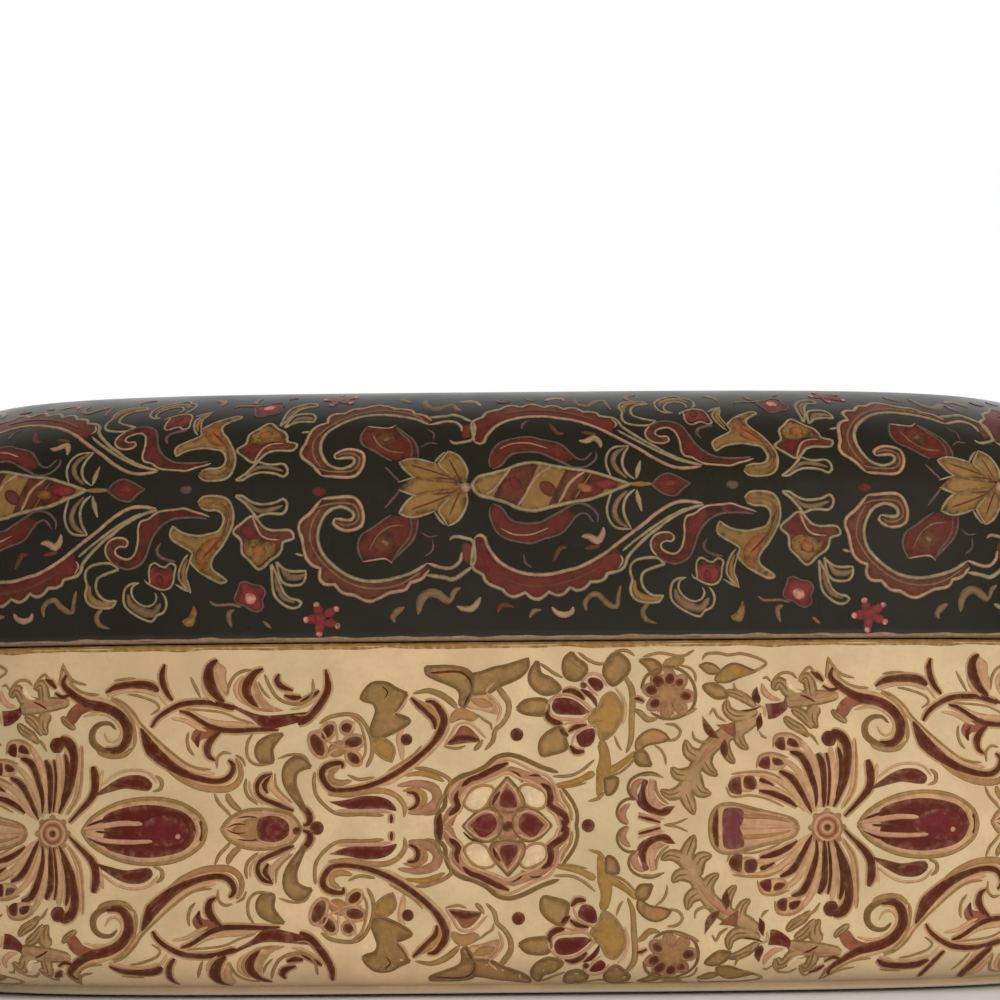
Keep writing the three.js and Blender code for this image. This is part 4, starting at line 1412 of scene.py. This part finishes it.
def berry_cluster(work):
    """The ring of dark berries between the lotus and the garland."""
    middle_x, middle_y = 251, 196
    work.dot("tan", middle_x, middle_y, 13, 1.2, level=1)
    for degrees, berry in ((165, 7.2), (125, 8), (84, 7.2), (48, 5.5), (-8, 7.2), (-52, 0), (-97, 0),
            (-142, 6.6)):
        turn = math.radians(degrees)
        x, y = middle_x + 26 * math.cos(turn), middle_y + 23 * math.sin(turn)
        work.dot("blush", x, y, 11, 1.35, degrees)
        if berry:
            work.dot("dark", x, y, berry, 1.2, degrees, level=2)
        else:
            work.dot("tan", x, y, 3.5, 3, degrees, level=2)
        c, s = math.cos(turn + 0.36), math.sin(turn + 0.36)
        work.line("tan", [(middle_x + r * c, middle_y + r * s) for r in (14, 24, 33)], 3)
    work.line("moss", [(210, 204), (218, 222), (234, 233), (254, 237), (274, 230), (288, 214),
        (292, 194), (286, 174), (268, 162), (244, 159), (224, 168)], 5)
    work.line("olive", [(253, 159), (276, 166), (293, 174)], 6)
    work.shapes("olive", [(209, 247, 1), (228, 248), (241, 239), (239, 229), (228, 224, 1), (221, 236)],
        [(199, 107), (213, 110), (223, 89, 1), (203, 91)], edge="moss")
    work.shape("tan", [(244, 232), (250, 247), (276, 249), (266, 237)], "olive", 3.5)
    work.lines("olive", 4.5, [(214, 252), (239, 258), (274, 253), (292, 262)],
        [(245, 151), (260, 149), (268, 139), (262, 129), (247, 125)])
    work.lines("olive", 4, [(268, 239), (284, 235), (292, 226), (293, 214)],
        [(228, 120), (238, 112), (244, 100), (245, 89)])
    work.brush("dark", [(198, 189, 3), (206, 189, 6), (215, 184, 3)])
    work.brush("olive", [(198, 174, 4), (208, 168, 9), (219, 158, 10), (234, 159, 4)])
    work.shape("tan", [(201, 124), (212, 137), (228, 143), (245, 136), (251, 127, 1), (235, 123),
        (218, 120), (203, 110)], "moss", 3.5)


def palmette(work):
    """The crescent palmette on the axis between the rosette and the big flower."""
    work.brushes("blush", 0.06, [(188, 2, 5), (180, 12, 10), (180, 22, 11), (190, 32, 6)],
        [(202, 38, 5), (196, 48, 11), (199, 60, 12), (210, 69, 6)])
    work.line("moss", [(240, 71), (222, 78), (204, 75), (191, 66), (188, 53), (193, 43),
        (199, 39, 1), (186, 39), (175, 31), (171, 18), (176, 7), (186, 1)], 4.5)
    work.shape("maroon", [(210, 69, 1), (206, 54), (200, 36), (208, 24), (244, 14), (258, 28, 1),
        (246, 28), (234, 23), (222, 27), (213, 50), (218, 66)])
    work.brush("dark", [(212, 56, 3), (210, 42, 7), (218, 27, 9), (234, 19, 9), (250, 22, 6)], lift=0.11)
    work.shape("pink", [(220, 69, 1), (217, 50), (221, 34), (232, 27), (245, 29, 1), (232, 38),
        (227, 50), (230, 66)], level=1)
    work.lines("olive", 4.5, [(229, 66), (230, 52), (237, 40), (248, 31)],
        [(206, 74), (224, 76), (241, 71)])
    work.brush("dark", [(202, 13, 3), (218, 9, 5), (236, 4, 3)])
    work.line("pink", [(202, 19), (220, 13), (242, 9)], 3.5)
    work.line("olive", [(240, 0), (260, 3), (276, 10)], 3.5)


def garland(work):
    """The leafy garland that climbs from the axis to the rim, with dark accents."""
    leaves = (
        [(286, 15, 3), (280, 30, 14), (274, 46, 17), (279, 66, 14)],
        [(312, 46, 3), (297, 49, 14), (289, 60, 19), (287, 78, 16)],
        [(236, 52, 3), (250, 45, 12), (266, 50, 15), (279, 66, 14)],
        [(253, 86, 3), (261, 76, 13), (275, 74, 17), (289, 80, 16)],
        [(275, 127, 3), (279, 110, 14), (291, 102, 18), (306, 102, 16)],
        [(322, 73, 3), (310, 82, 12), (303, 94, 17), (308, 110, 16)],
        [(348, 91, 3), (340, 100, 9), (334, 116, 10), (336, 130, 8)],
        [(369, 112, 3), (359, 120, 10), (354, 134, 13), (360, 146, 10)],
        [(339, 187, 3), (338, 173, 10), (348, 163, 13), (366, 162, 12), (384, 170, 6)],
        [(334, 198, 3), (350, 196, 9), (365, 189, 10), (382, 176, 5)],
        [(410, 200, 8), (417, 212, 13), (424, 209, 12), (432, 197, 12), (456, 193, 8)],
        [(450, 212, 6), (460, 219, 13), (466, 190, 14), (456, 182, 6)],
        [(474, 143, 3), (467, 154, 12), (467, 166, 16), (476, 176, 13)],
        [(436, 172, 8), (450, 164, 12), (460, 152, 8), (466, 142, 3)],
        [(424, 160, 5), (434, 150, 10), (448, 142, 9), (460, 130, 3)],
        [(496, 170, 4), (504, 162, 7), (512, 156, 6), (519, 151, 3)])
    for leaf in leaves:
        work.brush("moss", [(x, y, w * 1.15 + 5) for x, y, w in leaf], lift=0.045)
        work.brush("garland", [(x, y, w * 1.05) for x, y, w in leaf], lift=0.07)
        work.line("moss", [p[:2] for p in leaf[:-1]], 3)
    for vine in ([(276, 64, 12), (294, 92, 20), (314, 118, 22), (338, 136, 22), (364, 147, 20),
            (382, 158, 12)],
            [(426, 180, 14), (444, 186, 22), (466, 188, 22), (486, 190, 18), (508, 192, 10)]):
        work.brush("moss", [(x, y, w + 4) for x, y, w in vine], lift=0.05)
        work.brush("garland", vine, lift=0.075)
    work.brushes("blush", 0.1, [(290, 88, 3), (310, 112, 10), (332, 129, 12), (356, 139, 4)],
        [(432, 183, 3), (454, 188, 9), (480, 191, 9), (500, 193, 3)])
    work.lines("olive", 4.5, [(304, 247), (309, 255), (329, 257), (343, 254), (364, 256), (400, 241),
        (377, 227), (354, 220)], [(350, 212), (352, 202), (364, 196), (372, 182)],
        [(408, 201), (411, 216), (423, 226), (437, 226), (446, 218)],
        [(448, 213), (456, 227), (466, 235), (474, 224)],
        [(490, 218), (493, 236), (495, 249, 1), (502, 236), (514, 224), (534, 218)],
        [(286, 140), (288, 129), (300, 123), (316, 127)],
        [(312, 164), (318, 173), (324, 162), (336, 154)], [(386, 139), (390, 132), (397, 128)],
        [(394, 218), (400, 220), (406, 213)], [(428, 149), (444, 138), (464, 132), (474, 118)])
    work.shape("ochre", [(322.5, 216), (331, 230), (350, 241), (384, 229, 1), (360, 221), (339, 213)],
        "moss", 3.5)
    work.shape("olive", [(299, 238, 1), (308, 242), (322, 239), (330, 229), (314, 226)], "moss", 3.5)
    work.shape("olive", [(304, 207), (320, 211), (334, 203), (341, 191, 1), (324, 189), (312, 196)], "moss")
    work.shapes("dark", [(301, 163, 1), (317, 142), (325, 128, 1), (312, 131), (303, 142)],
        [(334, 128, 1), (339, 116), (334, 97, 1), (327, 108), (328, 120)],
        [(385, 206, 1), (377, 197), (378, 185), (387, 180, 1), (390, 186), (387, 196)],
        [(389, 167, 1), (382, 158), (383, 139, 1), (391, 148)], level=3)
    work.shape("clay", [(322, 149, 1), (350, 151, 1), (351, 128, 1), (339, 135)], level=3)
    work.shape("maroon", [(396, 180, 1), (414, 181), (428, 185, 1), (430, 174), (410, 158), (400, 157, 1),
        (399, 168)], level=3)
    work.brushes("dark", 0.12, [(467, 228, 3), (477, 222, 10), (486, 213, 3)],
        [(450, 193, 3), (462, 188, 4), (472, 182, 3)],
        [(484, 207, 3), (496, 200, 6), (510, 204, 4)])
    work.brush("pink", [(393, 211, 4), (395, 199, 10), (406, 189, 9), (420, 186, 3)], lift=0.1)
    work.brush("cream", [(432, 218, 5), (433, 209, 8), (443, 199, 6), (452, 198, 3)], lift=0.1)
    work.line("beige", [(384, 178), (394, 174), (395, 160)], 4.5)
    work.line("dark", [(360, 170), (376, 171), (389, 176)], 3)


def draw_body_band():
    """One repeat of the body's band."""
    work = Slipwork(25.3, fullness=1.22, haloed=("dark",))
    for draw in (ray_petals, eye_and_long_petals, hooked_scroll, plume, lower_stem, body_tulip, double_curve,
            berry_flower, olive_leaf, lily, rosette, body_lotus, berry_cluster, palmette, garland):
        draw(work)
    return work


# Pieces and stage, one operator each

def base_glaze(name, colour, roughness, variation):
    """A ground glaze over a whole shell, mottled on two scales and wavy, and wiped off under the foot."""
    material, t = new_material(name)
    place = t.node("ShaderNodeTexCoord").outputs["Object"]
    pool = t.ramp(t.noise(place, 22.0), 0.35, 0.65)
    cloud = t.ramp(t.noise(place, 120.0), 0.3, 0.7)
    grain = t.ramp(t.noise(place, 1400.0, 2.0), 0.4, 0.75)
    dark = tuple(c * (1 - variation) for c in colour)
    light = tuple(min(1.0, c * (1 + variation * 0.6)) for c in colour)
    shade = t.mix(pool, light, tuple(colour))
    shade = t.mix(t.math("MULTIPLY", cloud, 0.6), shade, dark)
    warm = t.ramp(t.noise(place, 40.0, 2.0), 0.35, 0.65)
    shade = t.mix(0.6, shade, t.mix(warm, (1.0, 0.93, 0.86), (0.93, 1.0, 0.9)), "MULTIPLY")
    shade = t.mix(t.math("MULTIPLY", grain, 0.3), shade, dark)
    wiped = t.ramp(t.parts(place)[2], 0.0003, 0.0007, 1.0, 0.0)
    shade = t.mix(wiped, shade, srgb(196, 176, 152))
    rough = t.ramp(t.noise(place, 60.0), 0.3, 0.7, roughness * 0.8, roughness * 1.25)
    rough = t.math("MAXIMUM", rough, t.math("MULTIPLY", wiped, 0.85))
    wave = t.math("MULTIPLY_ADD", t.noise(place, 28.0, 2.0), 10.0, t.noise(place, 500.0, 2.0))
    fire(t, shade, rough, wave, 0.00004, 0.35)
    return material


class BOX_OT_body(bpy.types.Operator):
    """Throws the body of the box with its foot ring and rim"""
    bl_idname = "ceramic_box.body"
    bl_label = "Body"

    def execute(self, context):
        cream = base_glaze("cream_glaze", colours().cream, 0.32, 0.22)
        profile, anchor = body_profile()
        piece = shell("body_shell", profile, anchor, FOOT_HEIGHT + HEEL_RADIUS, cream)
        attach(piece, "body")
        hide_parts("box_body")
        return {"FINISHED"}


class BOX_OT_lid(bpy.types.Operator):
    """Throws the cushion-shaped lid with its locating flange"""
    bl_idname = "ceramic_box.lid"
    bl_label = "Lid"

    def execute(self, context):
        night = base_glaze("dark_glaze", colours().night, 0.3, 0.3)
        profile, anchor = lid_profile()
        piece = shell("lid_shell", profile, anchor, LID_EDGE_ROUND, night)
        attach(piece, "lid")
        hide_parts("lid")
        return {"FINISHED"}


LID_GLAZES = {
    "khaki": ((138, 118, 88), (92, 76, 52)),
    "pink_gold": ((154, 118, 92), (106, 78, 58)),
    "brick": ((94, 50, 32), (70, 40, 26)),
    "maroon": ((92, 38, 28), (70, 34, 24)),
    "ochre": ((128, 94, 50), (104, 72, 34)),
    "orange": ((138, 84, 42), (104, 62, 30)),
    "red": ((112, 42, 38), (86, 34, 30)),
    "mauve": ((92, 70, 60), (68, 50, 42)),
    "bright_pink": ((186, 124, 108), (140, 84, 72)),
    "tan": ((112, 86, 60), (82, 60, 40)),
}
BODY_GLAZES = {
    "dark": ((76, 31, 4), (100, 56, 24)),
    "halo": ((158, 116, 78), (176, 138, 98)),
    "maroon": ((84, 24, 12), (98, 46, 26)),
    "red": ((96, 24, 22), (94, 32, 22)),
    "plum": ((106, 50, 48), (98, 54, 40)),
    "clay": ((128, 74, 46), (106, 60, 34)),
    "blush": ((154, 108, 78), (126, 84, 54)),
    "beige": ((180, 138, 98), (148, 106, 70)),
    "pink": ((178, 130, 98), (152, 106, 76)),
    "tan": ((152, 110, 66), (126, 88, 50)),
    "olive": ((142, 107, 62), (106, 78, 40)),
    "moss": ((108, 79, 42), (122, 91, 52)),
    "ochre": ((148, 110, 52), (122, 88, 42)),
    "garland": ((156, 121, 80), (128, 96, 58)),
    "cream": ((206, 175, 136), (196, 164, 124)),
}


def glazes_of(prefix, table, ground, wear):
    """A glaze for each ink, from its body colour and its rim colour."""
    return {ink: glaze(prefix + ink, srgb(*core), srgb(*rim), tuple(ground), wear)
            for ink, (core, rim) in table.items()}


class BOX_OT_lid_band(bpy.types.Operator):
    """Trails the arabesque round the lid's side and shoulder"""
    bl_idname = "ceramic_box.lid_band"
    bl_label = "Lid band"

    def execute(self, context):
        glazes = glazes_of("lid_", LID_GLAZES, colours().night, 0.75)
        draw_lid_band().lay_round("lid_", glazes, "lid_shell", sizes().lid_repeats, "lid", "dark_glaze")
        return {"FINISHED"}


class BOX_OT_crown(bpy.types.Operator):
    """Trails the border and the ornament on the lid's top"""
    bl_idname = "ceramic_box.crown"
    bl_label = "Crown"

    def execute(self, context):
        glazes = glazes_of("crown_", LID_GLAZES, colours().night, 0.75)
        lid_shell = {"Shell": bpy.data.objects["lid_shell"]}
        draw_crown().lay("crown_", glazes, crown_tree(), lid_shell, "lid", "dark_glaze")
        return {"FINISHED"}


class BOX_OT_body_band(bpy.types.Operator):
    """Trails the arabesque round the body"""
    bl_idname = "ceramic_box.body_band"
    bl_label = "Body band"

    def execute(self, context):
        glazes = glazes_of("body_", BODY_GLAZES, colours().cream, 0.16)
        draw_body_band().lay_round("body_", glazes, "body_shell", sizes().body_repeats, "body", "cream_glaze")
        return {"FINISHED"}


LID_EDGE_LINE = 0.2
RIM_LINE = 52.65


def gilded_line(work, ink, period, width, wander):
    """A line of gold along the axis of the work, a little uneven, that meets its own next repeat."""
    along = np.linspace(-0.3, period + 0.3, round(period) + 1)
    turns = 2 * math.pi * along / period
    path = np.c_[along, wander * (np.sin(5 * turns) + 0.6 * np.sin(13 * turns + 1))]
    widths = width * (1 + 0.14 * np.sin(9 * turns) + 0.1 * np.sin(17 * turns + 2))
    work.ribbon(ink, path, widths, 0.05, False)


class BOX_OT_gilding(bpy.types.Operator):
    """Brushes gold round the lid's edge, in a dull pinkish tone of painted shade, and round the rim below it
    """
    bl_idname = "ceramic_box.gilding"
    bl_label = "Gilding"

    def execute(self, context):
        cream = tuple(colours().cream)
        # The lid edge's gold is the gilding again, made a dull pinkish tone: painted shade, gold as it looks
        # in shadow.
        gold = {"gilt": glaze("rim_gilt", tuple(colours().gilt), srgb(112, 80, 40), cream, 0.7),
                "rose": glaze("rim_rose", srgb(136, 106, 80), srgb(118, 90, 64), cream, 0.3)}
        s = sizes()
        lid_edge = Slipwork(LID_EDGE_LINE)
        # The lid's edge line takes that dull pinkish gold, which is painted shade on the gilding.
        gilded_line(lid_edge, "rose", perimeter() / MM / s.lid_repeats, 1.3, 0.03)
        lid_edge.lay_round("lid_edge_", gold, "lid_shell", s.lid_repeats, "lid", "dark_glaze")
        rim = Slipwork(RIM_LINE)
        gilded_line(rim, "gilt", perimeter() / MM / s.body_repeats, 1.5, 0.07)
        rim.lay_round("rim_", gold, "body_shell", s.body_repeats, "body", "cream_glaze")
        return {"FINISHED"}


CAMERA_PLACE = (0.000093, -0.486, 0.035436)
CAMERA_PITCH = 95.309
CAMERA_ROLL = -0.509
CAMERA_LENS = 100.1


def area_lamp(name, place, target, size, watts):
    data = bpy.data.lights.new(name, "AREA")
    data.shape = "RECTANGLE"
    data.size, data.size_y = size
    data.energy = watts
    lamp = bpy.data.objects.new(name, data)
    lamp.visible_glossy = False
    lamp.location = place
    lamp.rotation_euler = (Vector(target) - Vector(place)).to_track_quat("-Z", "Y").to_euler()
    bpy.context.scene.collection.objects.link(lamp)


class BOX_OT_stage(bpy.types.Operator):
    """Sets the camera at the photo's angle, the soft light and the pale table"""
    bl_idname = "ceramic_box.stage"
    bl_label = "Stage"

    def execute(self, context):
        scene = context.scene
        scene.view_settings.view_transform = "Standard"
        data = bpy.data.cameras.new("camera")
        data.sensor_width = 36.0
        data.lens = CAMERA_LENS
        data.clip_start = 0.01
        camera = bpy.data.objects.new("camera", data)
        pitch = Matrix.Rotation(math.radians(CAMERA_PITCH), 4, "X")
        roll = Matrix.Rotation(math.radians(CAMERA_ROLL), 4, "Z")
        camera.matrix_world = Matrix.Translation(CAMERA_PLACE) @ pitch @ roll
        scene.collection.objects.link(camera)
        scene.camera = camera

        world = bpy.data.worlds.new("room")
        world.use_nodes = True
        t = Tree(world.node_tree)
        rays = t.node("ShaderNodeLightPath").outputs
        seen = t.math("MAXIMUM", rays["Is Camera Ray"], rays["Is Transmission Ray"])
        toward = t.parts(t.node("ShaderNodeTexCoord").outputs["Generated"])
        # The photographer's side of the room is dim, so it doesn't veil the dark lid.
        sweep = t.ramp(toward[1], -0.35, 0.5, 0.1, 1.0)
        white = t.math("MAXIMUM", seen, t.math("MULTIPLY", rays["Is Glossy Ray"], sweep))
        level = t.math("MAXIMUM", white, 0.5)
        glossy = t.math("MULTIPLY", rays["Is Glossy Ray"], t.math("SUBTRACT", 1.0, seen))
        shade = t.math("MULTIPLY", glossy, t.math("SUBTRACT", level, white))
        strength = t.math("SUBTRACT", level, shade)
        back = t.out("ShaderNodeBackground", {"Color": (1, 1, 1, 1), "Strength": strength})
        t.node("ShaderNodeOutputWorld", [back])
        scene.world = world

        area_lamp("key", (-0.2, -0.75, 0.75), (0, 0, 0.04), (0.6, 0.6), 1.75)
        area_lamp("fill", (0.6, -0.6, 0.4), (0, 0, 0.04), (0.5, 0.5), 1.7)
        area_lamp("low", (0.25, -0.6, 0.07), (0.03, 0, 0.0), (0.6, 0.12), 1.6)

        floor = make_object("floor", [(-3, -3, -0.0005), (3, -3, -0.0005), (3, 3, -0.0005), (-3, 3, -0.0005)],
                            (), [(0, 1, 2, 3)])
        paper, t = new_material("paper")
        matt = {"Base Color": (*colours().floor, 1.0), "Roughness": 0.9}
        t.node("ShaderNodeOutputMaterial", [t.out("ShaderNodeBsdfPrincipled", matt)])
        floor.data.materials.append(paper)
        return {"FINISHED"}


class BOX_PT_panel(bpy.types.Panel):
    """Lists the sizes, the colours and the operators"""
    bl_label = "Ceramic box"
    bl_space_type = "VIEW_3D"
    bl_region_type = "UI"
    bl_category = "Ceramic box"

    def draw(self, context):
        for group in (context.scene.box_sizes, context.scene.box_colours):
            for name in group.__annotations__:
                self.layout.prop(group, name)
        for operator in OPERATORS:
            self.layout.operator(operator.bl_idname)


OPERATORS = (BOX_OT_stage, BOX_OT_body, BOX_OT_lid, BOX_OT_lid_band, BOX_OT_crown, BOX_OT_body_band,
             BOX_OT_gilding)
CLASSES = (BoxSizes, BoxColours, *OPERATORS, BOX_PT_panel)


def register():
    for c in CLASSES:
        bpy.utils.register_class(c)
    bpy.types.Scene.box_sizes = bpy.props.PointerProperty(type=BoxSizes)
    bpy.types.Scene.box_colours = bpy.props.PointerProperty(type=BoxColours)


def unregister():
    del bpy.types.Scene.box_colours
    del bpy.types.Scene.box_sizes
    for c in reversed(CLASSES):
        bpy.utils.unregister_class(c)


def main():
    register()
    bpy.ops.ceramic_box.stage()
    bpy.ops.ceramic_box.body()
    bpy.ops.ceramic_box.lid()
    bpy.ops.ceramic_box.lid_band()
    bpy.ops.ceramic_box.crown()
    bpy.ops.ceramic_box.body_band()
    bpy.ops.ceramic_box.gilding()


if __name__ == "__main__":
    main()
